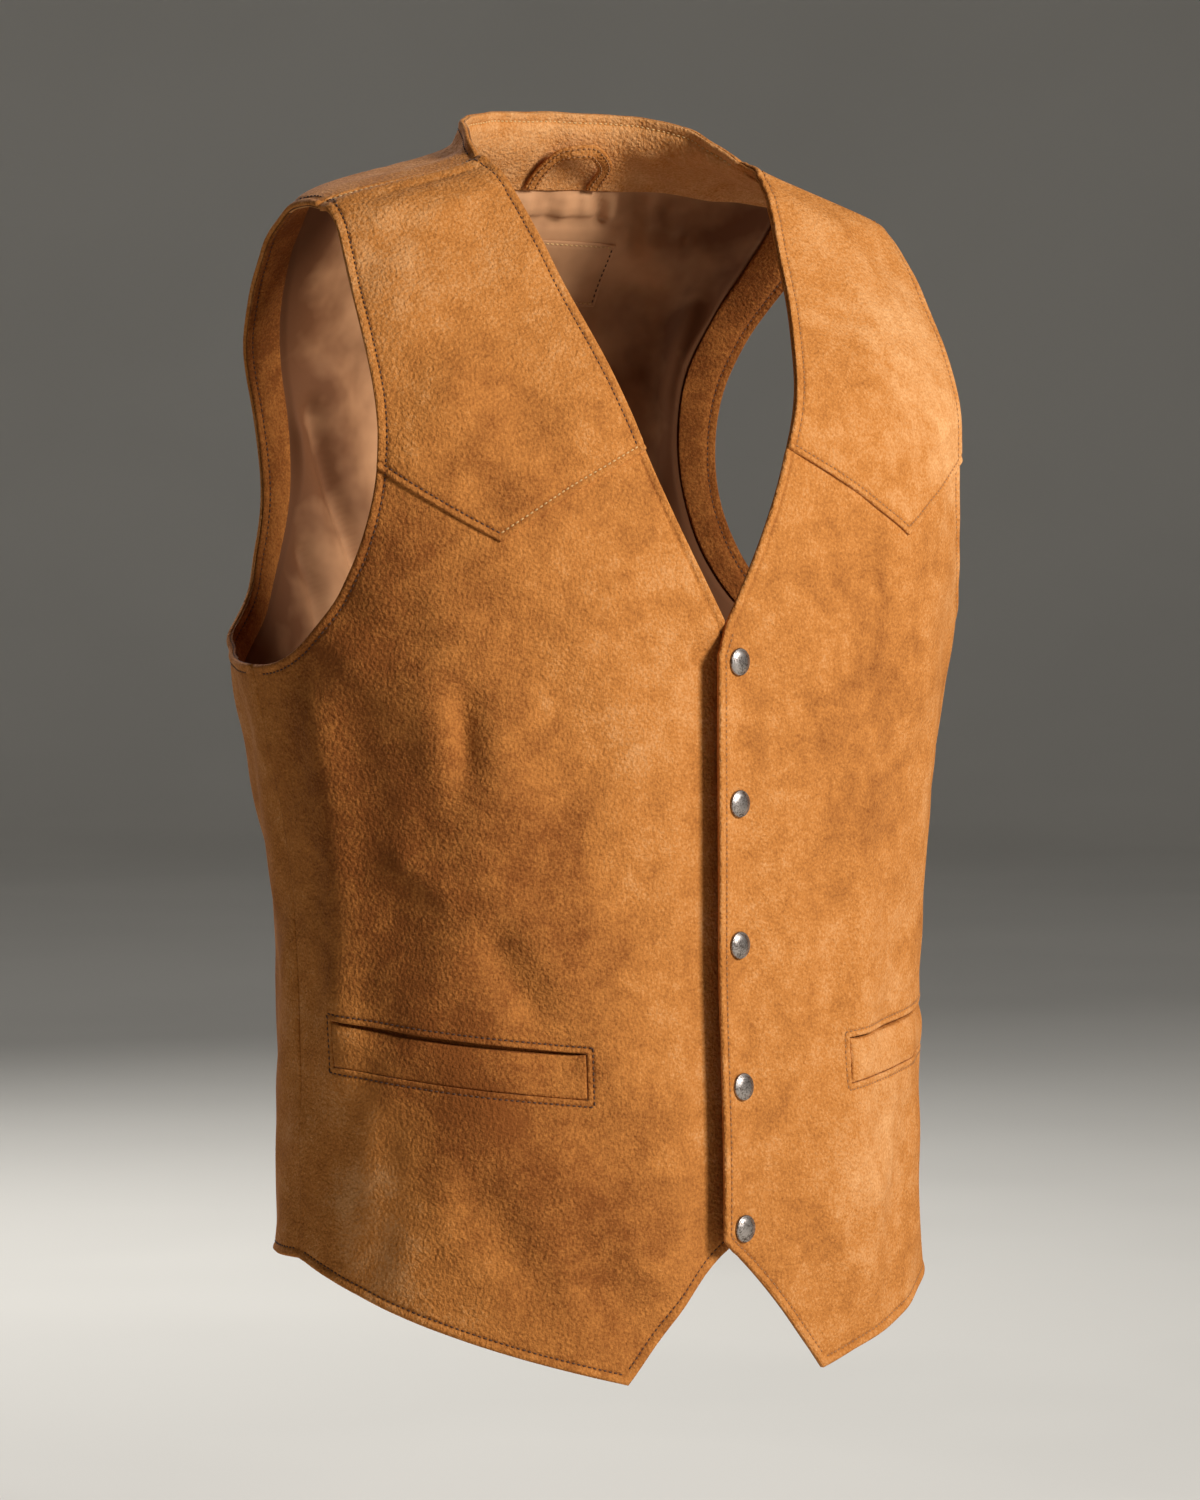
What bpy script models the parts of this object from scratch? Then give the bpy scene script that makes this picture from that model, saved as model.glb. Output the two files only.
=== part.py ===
"""Western vest in faux suede, hollow and filled out as when worn, in the pieces a maker cuts and sews.

Metres, +Z up. The front faces -Y and the wearer's left is +X. The origin lies midway between the
points where the shoulder seams meet the neckline, which is where the wearer carries the vest.

Every panel is cut from one body surface. A place on it has two coordinates: its angle, which is 0 at
the centre front, 90 degrees along the side and shoulder seams and 180 degrees at the centre back,
and its level, which is its height before the shoulders are sheared up towards the back.
"""

import math

import bpy
import numpy as np

# Body sections, from below the hem up to the neck
SECTION_COLUMNS = ("level", "half_width", "front_depth", "back_depth", "centre_y")
SECTIONS = np.array(
    [
        (-0.700, 0.200, 0.133, 0.112, -0.001),
        (-0.560, 0.190, 0.134, 0.103, -0.002),
        (-0.420, 0.193, 0.1275, 0.095, -0.003),
        (-0.255, 0.221, 0.130, 0.123, 0.000),
        (-0.140, 0.234, 0.118, 0.134, -0.003),
        (-0.029, 0.183, 0.053, 0.0875, -0.009),
        (0.000, 0.086, 0.029, 0.074, -0.018),
        (0.020, 0.079, 0.026, 0.067, -0.018),
    ]
)
SECTION_POWER = 2.31
SHOULDER_SHEAR = 0.154
SHOULDER_SHEAR_POWER = 0.55
LEFT_SHOULDER_DROP = 0.008
LEFT_DROP_ACROSS = (0.05, 0.18)
LEFT_DROP_LEVELS = (-0.16, -0.03)
CHEST_LEVEL, SHOULDER_TIP_LEVEL = SECTIONS[3, 0], SECTIONS[5, 0]
NECK_HALF_WIDTH = SECTIONS[6, 1]
SEAM_ANGLE = 0.0012

# Walls: how far each layer's inner and outer faces stand off the body surface
FRONT_LAYER = (-0.0010, 0.0010)
YOKE_LAYER = (0.0013, 0.0029)
BACK_LAYER = (-0.0008, 0.0010)
LINING_LAYER = (-0.0021, -0.0011)
FACING_LAYER = (-0.0038, -0.0026)
PATCH_LAYER = (-0.0034, -0.0024)
WELT_LAYER = (-0.0012, 0.0005)
SEAM_GAP = 0.0003

# Front edges, neckline and hem
OVERLAP = 0.009
UNDERLAP = 0.021
LAP_LIFT = 0.0013
LAP_FADE = (0.022, 0.075)
NECKLINE_RUN = 0.353
NECKLINE_BOW = 0.012
HEM_POINT_X = 0.064
HEM_POINT_LEVEL = -0.660
HEM_FRONT_RISE = 1.027
HEM_SIDE_LEVEL = -0.596

# Armholes
UNDERARM_LEVEL = -0.274
# Each armhole half: its scoop in degrees, its lean and its roundness
FRONT_ARMHOLE = (38.3, 1.17, 0.38)
BACK_ARMHOLE = (51.8, 0.81, 0.40)
ARMHOLE_ROW_GRADING = 1.4
UNDERARM_ROW_DIP = 0.030

# Yoke, pockets and snaps
YOKE_INNER_LEVEL = -0.148
YOKE_POINT_X = 0.132
YOKE_POINT_LEVEL = -0.202
YOKE_OUTER_LEVEL = -0.1615
POCKET_INNER_LEVEL = -0.481
POCKET_OUTER_LEVEL = -0.464
POCKET_HEIGHT = 0.025
POCKET_INNER_X = 0.085
POCKET_OUTER_DEGREES = 77.5
WELT_MOUTH_ENDS = 0.0005
WELT_MOUTH_SAG = 0.0022
SNAP_COUNT = 5
SNAP_PITCH = 0.0765
SNAP_TOP_LEVEL = -0.2731
SNAP_X = 0.006
SNAP_RADIUS = 0.0076
SNAP_SIDES = 18
# Snap profile: share of the radius, height
SNAP_PROFILE = ((0.86, 0.0), (1.0, 0.0005), (1.0, 0.0012), (0.90, 0.0020), (0.62, 0.0027), (0.30, 0.0031))
SNAP_CROWN = 0.0032

# Back neck, facings, hanger loop and patch
BACK_NECK_RISE = 0.016
NECK_EDGE_POWER = 5
NECK_CORNER_SHARE = 0.5
FACING_SHARE = 0.82
FACING_CENTRE_LEVEL = -0.0275
FACING_OUTER_LEVEL = -0.036
FACING_SIDE_RISE, FACING_RISE_POWER, FACING_ROW_POWER = 0.0095, 1.6, 8
LOOP_X = 0.026
LOOP_HALF_SPAN = 0.0205
LOOP_RISE = 0.0245
LOOP_BASE_LEVEL = -0.0250
LOOP_STRAP = (0.0085, 0.0022)
LOOP_STAND_OFF = (0.0055, 0.0120)
LOOP_WIDTH_POWER, LOOP_ARCH_POWER = 0.8, 0.7
LOOP_STATIONS = 21
# Shares of one cell by which the lining ends above the hem and the armhole facings below the neck facing
LINING_HEM_TRIM, FACING_END_TRIM = 0.35, 0.03
PATCH_ROWS_BELOW_FACING = (3, 1)
PATCH_COLUMNS_FROM_CENTRE = (-1, 4)

# Largest folds, ridges with a positive height and troughs with a negative one, each along a line:
# angle from, level from, angle to, level to, half width, height. Angles are in degrees, and those of
# the right side run from 0 to -90 on the front and from 270 to 180 on the back.
FOLDS = (
    (-41, -0.300, -44, -0.450, 0.019, -0.0050),
    (-52, -0.300, -56, -0.390, 0.017, 0.0036),
    (-70, -0.300, -77, -0.490, 0.015, 0.0045),
    (-60, -0.340, -62, -0.450, 0.020, -0.0035),
    (-33, -0.420, -22, -0.560, 0.022, -0.0030),
    (-46, -0.560, -18, -0.620, 0.020, -0.0026),
    (-30, -0.540, -12, -0.600, 0.016, 0.0024),
    (-30, -0.090, -22, -0.160, 0.018, -0.0022),
    (34, -0.330, 38, -0.470, 0.018, -0.0022),
    (56, -0.190, 60, -0.310, 0.030, -0.0024),
    (26, -0.440, 20, -0.590, 0.018, 0.0020),
    (44, -0.540, 36, -0.620, 0.020, -0.0024),
    (220, -0.330, 210, -0.520, 0.026, -0.0045),
    (240, -0.340, 232, -0.540, 0.024, 0.0040),
    (138, -0.310, 148, -0.500, 0.026, -0.0042),
    (118, -0.330, 124, -0.530, 0.024, 0.0042),
    (256, -0.230, 254, -0.330, 0.026, -0.0034),
    (104, -0.230, 106, -0.330, 0.026, -0.0030),
    (195, -0.110, 230, -0.240, 0.024, -0.0030),
    (168, -0.120, 132, -0.230, 0.024, -0.0030),
)
FOLD_GIRTH_RADIUS = 0.165
SLOPE_STEP = 2e-4
SHARP_EDGE = math.radians(40)

# Mesh density
FRONT_COLUMN_CELLS = {"hem_point": 3, "pocket_inner": 1, "yoke_point": 4, "pocket_outer": 5, "side": 3}
FRONT_ROW_CELLS = (("pocket_bottom", 5), ("pocket_top", 1), ("chest", 8), ("yoke", 6), ("shoulder", 7))
BACK_COLUMN_CELLS = ((NECK_CORNER_SHARE, 6), (FACING_SHARE, 4), (1.0, 3))
BACK_ROW_CELLS = (("underarm", 11), ("facing", 12), ("top", 4))

COLOURS = {
    "suede": ((0.46, 0.21, 0.065), 0.92, 0.0),
    "lining": ((0.50, 0.32, 0.19), 0.75, 0.0),
    "antique_nickel": ((0.42, 0.40, 0.38), 0.38, 1.0),
}


def section(column, level):
    """A section size at any level: a monotone cubic through the table, so that no size overshoots."""
    knots = SECTIONS[:, 0]
    sizes = SECTIONS[:, SECTION_COLUMNS.index(column)]
    step = np.diff(knots)
    rise = np.diff(sizes) / step
    before, after = 2 * step[1:] + step[:-1], step[1:] + 2 * step[:-1]
    safe = np.where(rise[:-1] * rise[1:] > 0, 1.0, np.nan)
    slope = np.concatenate(([rise[0]], rise[1:], [rise[-1]]))
    with np.errstate(divide="ignore", invalid="ignore"):
        mean = (before + after) / (before / rise[:-1] + after / rise[1:])
    slope[1:-1] = np.nan_to_num(mean * safe)
    level = np.asarray(level, float)
    k = np.clip(np.searchsorted(knots, level) - 1, 0, len(step) - 1)
    t = (level - knots[k]) / step[k]
    start = (1 + 2 * t) * (1 - t) ** 2 * sizes[k] + t * (1 - t) ** 2 * step[k] * slope[k]
    end = t * t * (3 - 2 * t) * sizes[k + 1] + t * t * (t - 1) * step[k] * slope[k + 1]
    return start + end


def smooth_step(low, high, value):
    t = np.clip((value - low) / (high - low), 0, 1)
    return t * t * (3 - 2 * t)


def signed_power(value, power):
    return np.sign(value) * np.abs(value) ** power


def body_point(angle, level):
    """A point of the smooth body: a superellipse at each level, sheared up towards the back at the shoulders.

    The left shoulder hangs a little lower than the right one."""
    power = 2 / SECTION_POWER
    across = section("half_width", level) * signed_power(np.sin(angle), power)
    facing = np.cos(angle)
    depth = np.where(facing > 0, section("front_depth", level), section("back_depth", level))
    along = -depth * signed_power(facing, power)
    shear = SHOULDER_SHEAR * smooth_step(CHEST_LEVEL, 0.0, level) ** SHOULDER_SHEAR_POWER
    drop = LEFT_SHOULDER_DROP * smooth_step(*LEFT_DROP_ACROSS, across) * smooth_step(*LEFT_DROP_LEVELS, level)
    return np.stack([across, section("centre_y", level) + along, level + shear * along - drop], axis=-1)


def unit_normal(point_at, angle, level):
    """The outward normal of a surface, from points a small step away on each side."""
    around = point_at(angle + SLOPE_STEP, level) - point_at(angle - SLOPE_STEP, level)
    up = point_at(angle, level + SLOPE_STEP) - point_at(angle, level - SLOPE_STEP)
    normal = np.cross(around, up)
    return normal / np.linalg.norm(normal, axis=-1, keepdims=True)


def fold_height(angle, level):
    """The height of all the folds at a place: a rounded bar along each fold's line, fading past its ends."""
    total = np.zeros(np.broadcast(angle, level).shape)
    for angle_from, level_from, angle_to, level_to, half_width, height in FOLDS:
        start = np.array([math.radians(angle_from) * FOLD_GIRTH_RADIUS, level_from])
        run = np.array([math.radians(angle_to) * FOLD_GIRTH_RADIUS, level_to]) - start
        side, rise = angle * FOLD_GIRTH_RADIUS - start[0], level - start[1]
        share = np.clip((side * run[0] + rise * run[1]) / (run @ run), 0, 1)
        away = (side - share * run[0]) ** 2 + (rise - share * run[1]) ** 2
        total += height * np.exp(-away / half_width**2)
    return total


def surface(angle, level):
    """The body surface that the panels are cut from, with its folds."""
    angle, level = np.broadcast_arrays(np.asarray(angle, float), np.asarray(level, float))
    return body_point(angle, level) + fold_height(angle, level)[..., None] * unit_normal(body_point, angle, level)


def lifted(angle, level, lift):
    """Points of the surface moved out along its normal."""
    return surface(angle, level) + np.asarray(lift)[..., None] * unit_normal(surface, angle, level)


def angle_at(x, level):
    """The angle of the front surface at a distance x from the centre plane."""
    share = np.clip(np.abs(x) / section("half_width", level), 0, 1)
    return np.sign(x) * np.arcsin(share ** (SECTION_POWER / 2))


def neckline_x(level):
    """The V neckline's distance from the centre plane: a line down from the neck point, bowed outwards."""
    depth = (NECK_HALF_WIDTH + OVERLAP) / NECKLINE_RUN
    bow = NECKLINE_BOW * np.sin(math.pi * np.clip(-level / depth, 0, 1))
    return NECK_HALF_WIDTH + NECKLINE_RUN * level + bow


def armhole_edge(swing, shape, side):
    """Places on the armhole at swings from 0, the underarm, to 1, the shoulder tip.

    side is -1 for the front half of the oval and +1 for the back half."""
    scoop, lean, roundness = shape
    rise = ((1 - np.cos(math.pi * swing)) / 2) ** ARMHOLE_ROW_GRADING
    level = UNDERARM_LEVEL + (SHOULDER_TIP_LEVEL - UNDERARM_LEVEL) * rise
    offset = math.radians(scoop) * np.maximum(np.sin(math.pi * rise**lean), 0) ** roundness
    return np.stack([math.pi / 2 + side * np.maximum(offset, SEAM_ANGLE), level], axis=-1)


def swing_at(level):
    """The armhole swing that has a given level."""
    rise = (level - UNDERARM_LEVEL) / (SHOULDER_TIP_LEVEL - UNDERARM_LEVEL)
    return math.acos(1 - 2 * rise ** (1 / ARMHOLE_ROW_GRADING)) / math.pi


def spaced(cells):
    """Shares from 0 to 1 with a number of even cells up to each named stop."""
    shares = [0.0]
    for stop, count in cells:
        shares += list(np.linspace(shares[-1], stop, count + 1)[1:])
    return np.array(shares)


def patch_between(lower, upper, left, right, columns):
    """Rows of places between two guide rows and two edges, as a Coons patch, without the first row."""
    count = len(left)
    rise = np.linspace(0, 1, count)[:, None, None]
    across = columns[None, :, None]
    rows = (1 - rise) * lower + rise * upper
    ends = (1 - across) * (left[:, None] - rows[:, :1]) + across * (right[:, None] - rows[:, -1:])
    return (rows + ends)[1:]


def underarm_dip(columns):
    """How far the row through the underarm sags between its ends, so that the cells fan out from that corner."""
    return UNDERARM_ROW_DIP * 4 * columns * (1 - columns)


def yoke_end_angles():
    """The angles where the yoke's lower edge meets the neckline and the armhole."""
    inner = angle_at(neckline_x(YOKE_INNER_LEVEL), YOKE_INNER_LEVEL)
    outer = armhole_edge(np.array(swing_at(YOKE_OUTER_LEVEL)), FRONT_ARMHOLE, -1)[0]
    return inner, outer


def front_stops(extension):
    """The shares of a front's width, from its front edge to the side seam, where its details stand."""
    side = math.pi / 2 - SEAM_ANGLE
    yoke_inner, yoke_outer = yoke_end_angles()

    def share_of(angle, level):
        inner = angle_at(-extension, level)
        return float((angle - inner) / (side - inner))

    return {
        "hem_point": share_of(angle_at(HEM_POINT_X, HEM_POINT_LEVEL), HEM_POINT_LEVEL),
        "pocket_inner": share_of(angle_at(POCKET_INNER_X, POCKET_INNER_LEVEL), POCKET_INNER_LEVEL),
        "yoke_point": (angle_at(YOKE_POINT_X, YOKE_POINT_LEVEL) - yoke_inner) / (yoke_outer - yoke_inner),
        "pocket_outer": share_of(math.radians(POCKET_OUTER_DEGREES), POCKET_OUTER_LEVEL),
        "side": 1.0,
    }


def front_columns(extension):
    stops = front_stops(extension)
    return spaced([(stops[name], count) for name, count in FRONT_COLUMN_CELLS.items()])


def front_guides(extension, columns):
    """The front's guide rows by name, each an array of places from the front edge to the outer edge."""
    hem_front = HEM_POINT_LEVEL + HEM_FRONT_RISE * (HEM_POINT_X + extension)
    break_level = -(NECK_HALF_WIDTH + extension) / NECKLINE_RUN
    side = math.pi / 2 - SEAM_ANGLE
    stop = front_stops(extension)
    pocket_bottom = (POCKET_INNER_LEVEL - POCKET_HEIGHT, POCKET_OUTER_LEVEL - POCKET_HEIGHT)
    pocket_stops = (0, stop["pocket_inner"], stop["pocket_outer"], 1)
    level_stops = {
        "hem": ((0, stop["hem_point"], 1), (hem_front, HEM_POINT_LEVEL, HEM_SIDE_LEVEL)),
        "pocket_bottom": (pocket_stops, np.repeat(pocket_bottom, 2)),
        "pocket_top": (pocket_stops, np.repeat((POCKET_INNER_LEVEL, POCKET_OUTER_LEVEL), 2)),
        "chest": ((0, 1), (break_level, UNDERARM_LEVEL)),
    }
    guides = {}
    for name, (stops, levels) in level_stops.items():
        level = np.interp(columns, stops, levels)
        inner = angle_at(-extension, level[0])
        guides[name] = np.stack([inner + columns * (side - inner), level], axis=-1)
    guides["chest"][:, 1] -= underarm_dip(columns)
    yoke_levels = (YOKE_INNER_LEVEL, YOKE_POINT_LEVEL, YOKE_OUTER_LEVEL)
    yoke_level = np.interp(columns, (0, stop["yoke_point"], 1), yoke_levels)
    inner, outer = yoke_end_angles()
    guides["yoke"] = np.stack([inner + columns * (outer - inner), yoke_level], axis=-1)
    guides["shoulder"] = np.stack([np.full_like(columns, side), columns * SHOULDER_TIP_LEVEL], axis=-1)
    return guides


def front_edges(guides, lower, upper, count):
    """The front edge and the outer edge between two guide rows, as places row by row."""
    rise = np.linspace(0, 1, count + 1)
    inner_from, inner_to = guides[lower][0], guides[upper][0]
    outer_from, outer_to = guides[lower][-1], guides[upper][-1]
    if upper == "shoulder":
        level = inner_from[1] * (1 - rise) ** 2
        left = np.stack([np.minimum(angle_at(neckline_x(level), level), inner_to[0]), level], axis=-1)
    elif upper == "yoke":
        level = inner_from[1] + (inner_to[1] - inner_from[1]) * rise
        left = np.stack([angle_at(neckline_x(level), level), level], axis=-1)
    else:
        left = inner_from + (inner_to - inner_from) * rise[:, None]
    if upper in ("yoke", "shoulder"):
        yoke_swing = swing_at(YOKE_OUTER_LEVEL)
        start, end = (0.0, yoke_swing) if upper == "yoke" else (yoke_swing, 1.0)
        right = armhole_edge(start + (end - start) * rise, FRONT_ARMHOLE, -1)
    else:
        right = outer_from + (outer_to - outer_from) * rise[:, None]
    return left, right


def front_places(extension):
    """All the places of a front, row by row from the hem to the shoulder, and the row of each guide."""
    columns = front_columns(extension)
    guides = front_guides(extension, columns)
    rows, guide_row, lower = [guides["hem"][None]], {"hem": 0}, "hem"
    for upper, count in FRONT_ROW_CELLS:
        left, right = front_edges(guides, lower, upper, count)
        rows.append(patch_between(guides[lower], guides[upper], left, right, columns))
        guide_row[upper] = guide_row[lower] + count
        lower = upper
    return np.concatenate(rows), guide_row


def back_half_places():
    """The places of the back's left half, from the centre back outwards, and the row of each guide."""
    columns = spaced(BACK_COLUMN_CELLS)
    side = math.pi / 2 + SEAM_ANGLE
    facing_swing = swing_at(FACING_OUTER_LEVEL)
    outer = {
        "hem": (side, HEM_SIDE_LEVEL),
        "underarm": (side, UNDERARM_LEVEL),
        "facing": armhole_edge(np.array(facing_swing), BACK_ARMHOLE, 1),
    }
    guides = {
        name: np.stack([math.pi + columns * (place[0] - math.pi), np.full_like(columns, place[1])], axis=-1)
        for name, place in outer.items()
    }
    guides["underarm"][:, 1] -= underarm_dip(columns)
    facing_rise = FACING_CENTRE_LEVEL - FACING_OUTER_LEVEL + FACING_SIDE_RISE * columns**FACING_RISE_POWER
    guides["facing"][:, 1] += facing_rise * (1 - columns**FACING_ROW_POWER)
    to_corner = np.clip(columns / NECK_CORNER_SHARE, 0, 1)
    past_corner = np.clip((columns - NECK_CORNER_SHARE) / (1 - NECK_CORNER_SHARE), 0, 1)
    top_level = SHOULDER_TIP_LEVEL * past_corner + BACK_NECK_RISE * (1 - to_corner**NECK_EDGE_POWER)
    guides["top"] = np.stack([math.pi + to_corner * (side - math.pi), top_level], axis=-1)
    swings = {"facing": (0.0, facing_swing), "top": (facing_swing, 1.0)}
    rows, guide_row, lower = [guides["hem"][None]], {"hem": 0}, "hem"
    for upper, count in BACK_ROW_CELLS:
        rise = np.linspace(0, 1, count + 1)
        left = guides[lower][0] + (guides[upper][0] - guides[lower][0]) * rise[:, None]
        right = guides[lower][-1] + (guides[upper][-1] - guides[lower][-1]) * rise[:, None]
        if upper in swings:
            start, end = swings[upper]
            right = armhole_edge(start + (end - start) * rise, BACK_ARMHOLE, 1)
        rows.append(patch_between(guides[lower], guides[upper], left, right, columns))
        guide_row[upper] = guide_row[lower] + count
        lower = upper
    return np.concatenate(rows), guide_row


def back_places():
    """The whole back's places, from the right side seam round to the left one."""
    half, guide_row = back_half_places()
    right = half[:, :0:-1] * (-1, 1) + (2 * math.pi, 0)
    return np.concatenate([right, half], axis=1), guide_row


def trimmed(places, rows=(0.0, 0.0), columns=(0.0, 0.0)):
    """Places with their first and last row or column drawn in by a share of one cell."""
    moved = places.copy()
    moved[0] += rows[0] * (places[1] - places[0])
    moved[-1] += rows[1] * (places[-2] - places[-1])
    moved[:, 0] += columns[0] * (places[:, 1] - places[:, 0])
    moved[:, -1] += columns[1] * (places[:, -2] - places[:, -1])
    return moved


def finish_object(name, vertices, faces, material):
    """A named object with its material, shaded smooth but for its edges."""
    mesh = bpy.data.meshes.new(name)
    mesh.from_pydata([tuple(map(float, v)) for v in vertices], [], faces)
    mesh.shade_smooth()
    mesh.set_sharp_from_angle(angle=SHARP_EDGE)
    mesh.materials.append(material)
    bpy.context.scene.collection.objects.link(bpy.data.objects.new(name, mesh))


def make_wall(name, outer, inner, material, keep=None):
    """A closed wall between two grids of points; keep marks the cells that aren't cut away.

    Each cell is halved along the same diagonal on both faces, so layers over the same places lie parallel."""
    rows, columns = outer.shape[:2]
    if keep is None:
        keep = np.ones((rows - 1, columns - 1), bool)
    across, up = np.diff(outer, axis=1)[:-1], np.diff(outer, axis=0)[:, :-1]
    outwards = np.sum(np.cross(across, up) * (outer - inner)[:-1, :-1]) > 0
    total = rows * columns
    index = np.arange(total).reshape(rows, columns)
    padded = np.pad(keep, 1)
    faces = []
    for r, c in np.argwhere(keep):
        corners = [index[r, c], index[r, c + 1], index[r + 1, c + 1], index[r + 1, c]]
        for face in (corners[:3], [corners[0], *corners[2:]]):
            faces.append(face)
            faces.append([total + v for v in reversed(face)])
        beyond = (padded[r, c + 1], padded[r + 1, c + 2], padded[r + 2, c + 1], padded[r + 1, c])
        for k, joined in enumerate(beyond):
            if not joined:
                start, end = corners[k], corners[(k + 1) % 4]
                faces.append([end, start, total + start, total + end])
    if not outwards:
        faces = [face[::-1] for face in faces]
    used = sorted({v for face in faces for v in face})
    place = {v: i for i, v in enumerate(used)}
    points = np.concatenate([outer.reshape(-1, 3), inner.reshape(-1, 3)])
    faces = [[place[v] for v in face] for face in faces]
    finish_object(name, points[used], faces, material)


def make_layer(name, places, layer, material, lift=0.0, keep=None):
    """A wall of one layer of cloth over an array of places; lift raises both its faces."""
    angle, level = places[..., 0], places[..., 1]
    inner, outer = (lifted(angle, level, face + lift + np.zeros_like(angle)) for face in layer)
    make_wall(name, outer, inner, material, keep)


def lap_lift(places, side):
    """How far a front stands out, or in, near the centre so that the left front lies on the right one."""
    x = side * body_point(places[..., 0], places[..., 1])[..., 0]
    return side * LAP_LIFT * (1 - smooth_step(*LAP_FADE, x))


def make_front(side, materials):
    """A front with its pocket window, its welt and the pointed yoke sewn over its shoulder."""
    hand = "left" if side > 0 else "right"
    places, row = front_places(OVERLAP if side > 0 else UNDERLAP)
    places = places * (side, 1)
    cells = list(FRONT_COLUMN_CELLS.values())
    first, last = sum(cells[:2]), sum(cells[:4])
    keep = np.ones((places.shape[0] - 1, places.shape[1] - 1), bool)
    keep[row["pocket_bottom"] : row["pocket_top"], first:last] = False
    make_layer(f"front_{hand}", places, FRONT_LAYER, materials["suede"], lap_lift(places, side), keep)
    yoke = places[row["yoke"] :]
    make_layer(f"front_yoke_{hand}", yoke, YOKE_LAYER, materials["suede"], lap_lift(yoke, side))
    window = places[row["pocket_bottom"] : row["pocket_top"] + 1, first : last + 1]
    make_welt(f"pocket_welt_{hand}", window, side, materials["suede"])


def make_welt(name, window, side, material):
    """The welt that closes the pocket's window, a seam gap inside it, with its top edge sagging from the mouth."""
    low, high = window[0].copy(), window[-1].copy()
    along = np.linspace(0, 1, len(low))
    low[:, 1] += SEAM_GAP
    high[:, 1] -= WELT_MOUTH_ENDS + WELT_MOUTH_SAG * np.sin(math.pi * along)
    welt = np.stack([low, high])
    end_cell = np.linalg.norm(np.diff(body_point(low[:2, 0], low[:2, 1]), axis=0))
    share = SEAM_GAP / end_cell
    welt = trimmed(welt, columns=(share, share))
    make_layer(name, welt, WELT_LAYER, material, lap_lift(welt, side))


def make_back(materials):
    """The back, its lining, the facings and the plain patch under the neck, all from the back's own places."""
    places, row = back_places()
    make_layer("back_panel", places, BACK_LAYER, materials["suede"])
    lining = trimmed(places, rows=(LINING_HEM_TRIM, 0.0))
    make_layer("back_lining", lining, LINING_LAYER, materials["lining"])
    make_layer("back_neck_facing", places[row["facing"] :], FACING_LAYER, materials["suede"])
    columns = spaced(BACK_COLUMN_CELLS)
    band = len(columns) - int(np.argmin(np.abs(columns - FACING_SHARE)))
    armhole_rows = places[row["underarm"] + 1 : row["facing"] + 1]
    for hand, strip in (("right", armhole_rows[:, :band]), ("left", armhole_rows[:, -band:])):
        strip = trimmed(strip, rows=(0.0, FACING_END_TRIM))
        make_layer(f"armhole_facing_{hand}", strip, FACING_LAYER, materials["suede"])
    centre = places.shape[1] // 2
    patch_rows = slice(row["facing"] - PATCH_ROWS_BELOW_FACING[0], row["facing"] - PATCH_ROWS_BELOW_FACING[1] + 1)
    patch_columns = slice(centre + PATCH_COLUMNS_FROM_CENTRE[0], centre + PATCH_COLUMNS_FROM_CENTRE[1] + 1)
    make_layer("lining_patch", places[patch_rows, patch_columns], PATCH_LAYER, materials["lining"])


def back_angle_at(x, level):
    return math.pi - angle_at(np.asarray(x, float), np.asarray(level, float))


def make_loop(materials):
    """The hanger loop: a flat strap that rises from the facing's lower edge, over an arch and back."""
    turn = np.linspace(0, math.pi, LOOP_STATIONS)
    x = LOOP_X - LOOP_HALF_SPAN * signed_power(np.cos(turn), LOOP_WIDTH_POWER)
    arch = np.sin(turn) ** LOOP_ARCH_POWER
    level = LOOP_BASE_LEVEL + LOOP_RISE * arch
    angle = back_angle_at(x, level)
    width, thickness = LOOP_STRAP
    stand_off = -(LOOP_STAND_OFF[0] + (LOOP_STAND_OFF[1] - LOOP_STAND_OFF[0]) * arch**2)
    middle = lifted(angle, level, stand_off)
    normal = unit_normal(surface, angle, level)
    along = np.gradient(middle, axis=0)
    sideways = np.cross(along, normal)
    sideways /= np.linalg.norm(sideways, axis=-1, keepdims=True)
    edges = np.linspace(-width / 2, width / 2, 3)[None, :, None]
    strap = middle[:, None] + edges * sideways[:, None]
    half = thickness / 2 * normal[:, None]
    make_wall("hanger_loop", strap + half, strap - half, materials["suede"])


def make_snaps(material):
    """The row of domed snap caps on the left front, each turned from one profile."""
    turn = np.linspace(0, 2 * math.pi, SNAP_SIDES, endpoint=False)
    ring = np.stack([np.cos(turn), np.sin(turn)], axis=-1)
    profile = np.array(SNAP_PROFILE)
    faces = [list(range(SNAP_SIDES))[::-1]]
    for k in range(len(profile) - 1):
        for i in range(SNAP_SIDES):
            j = (i + 1) % SNAP_SIDES
            low, high = k * SNAP_SIDES, (k + 1) * SNAP_SIDES
            faces.append([low + i, low + j, high + j, high + i])
    top, crown = (len(profile) - 1) * SNAP_SIDES, len(profile) * SNAP_SIDES
    faces += [[top + i, top + (i + 1) % SNAP_SIDES, crown] for i in range(SNAP_SIDES)]
    for number in range(SNAP_COUNT):
        level = np.array(SNAP_TOP_LEVEL - number * SNAP_PITCH)
        angle = angle_at(np.array(SNAP_X), level)
        normal = unit_normal(surface, angle, level)
        seat = lifted(angle, level, FRONT_LAYER[1] + LAP_LIFT + SEAM_GAP)
        across = np.cross(normal, (0, 0, 1))
        across /= np.linalg.norm(across)
        up = np.cross(across, normal)
        flat = SNAP_RADIUS * profile[:, 0, None, None] * ring[None]
        cap = seat + flat[..., :1] * -across + flat[..., 1:] * up + profile[:, 1, None, None] * normal
        vertices = np.concatenate([cap.reshape(-1, 3), (seat + SNAP_CROWN * normal)[None]])
        finish_object(f"snap_cap_{number + 1}", vertices, faces, material)


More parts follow.
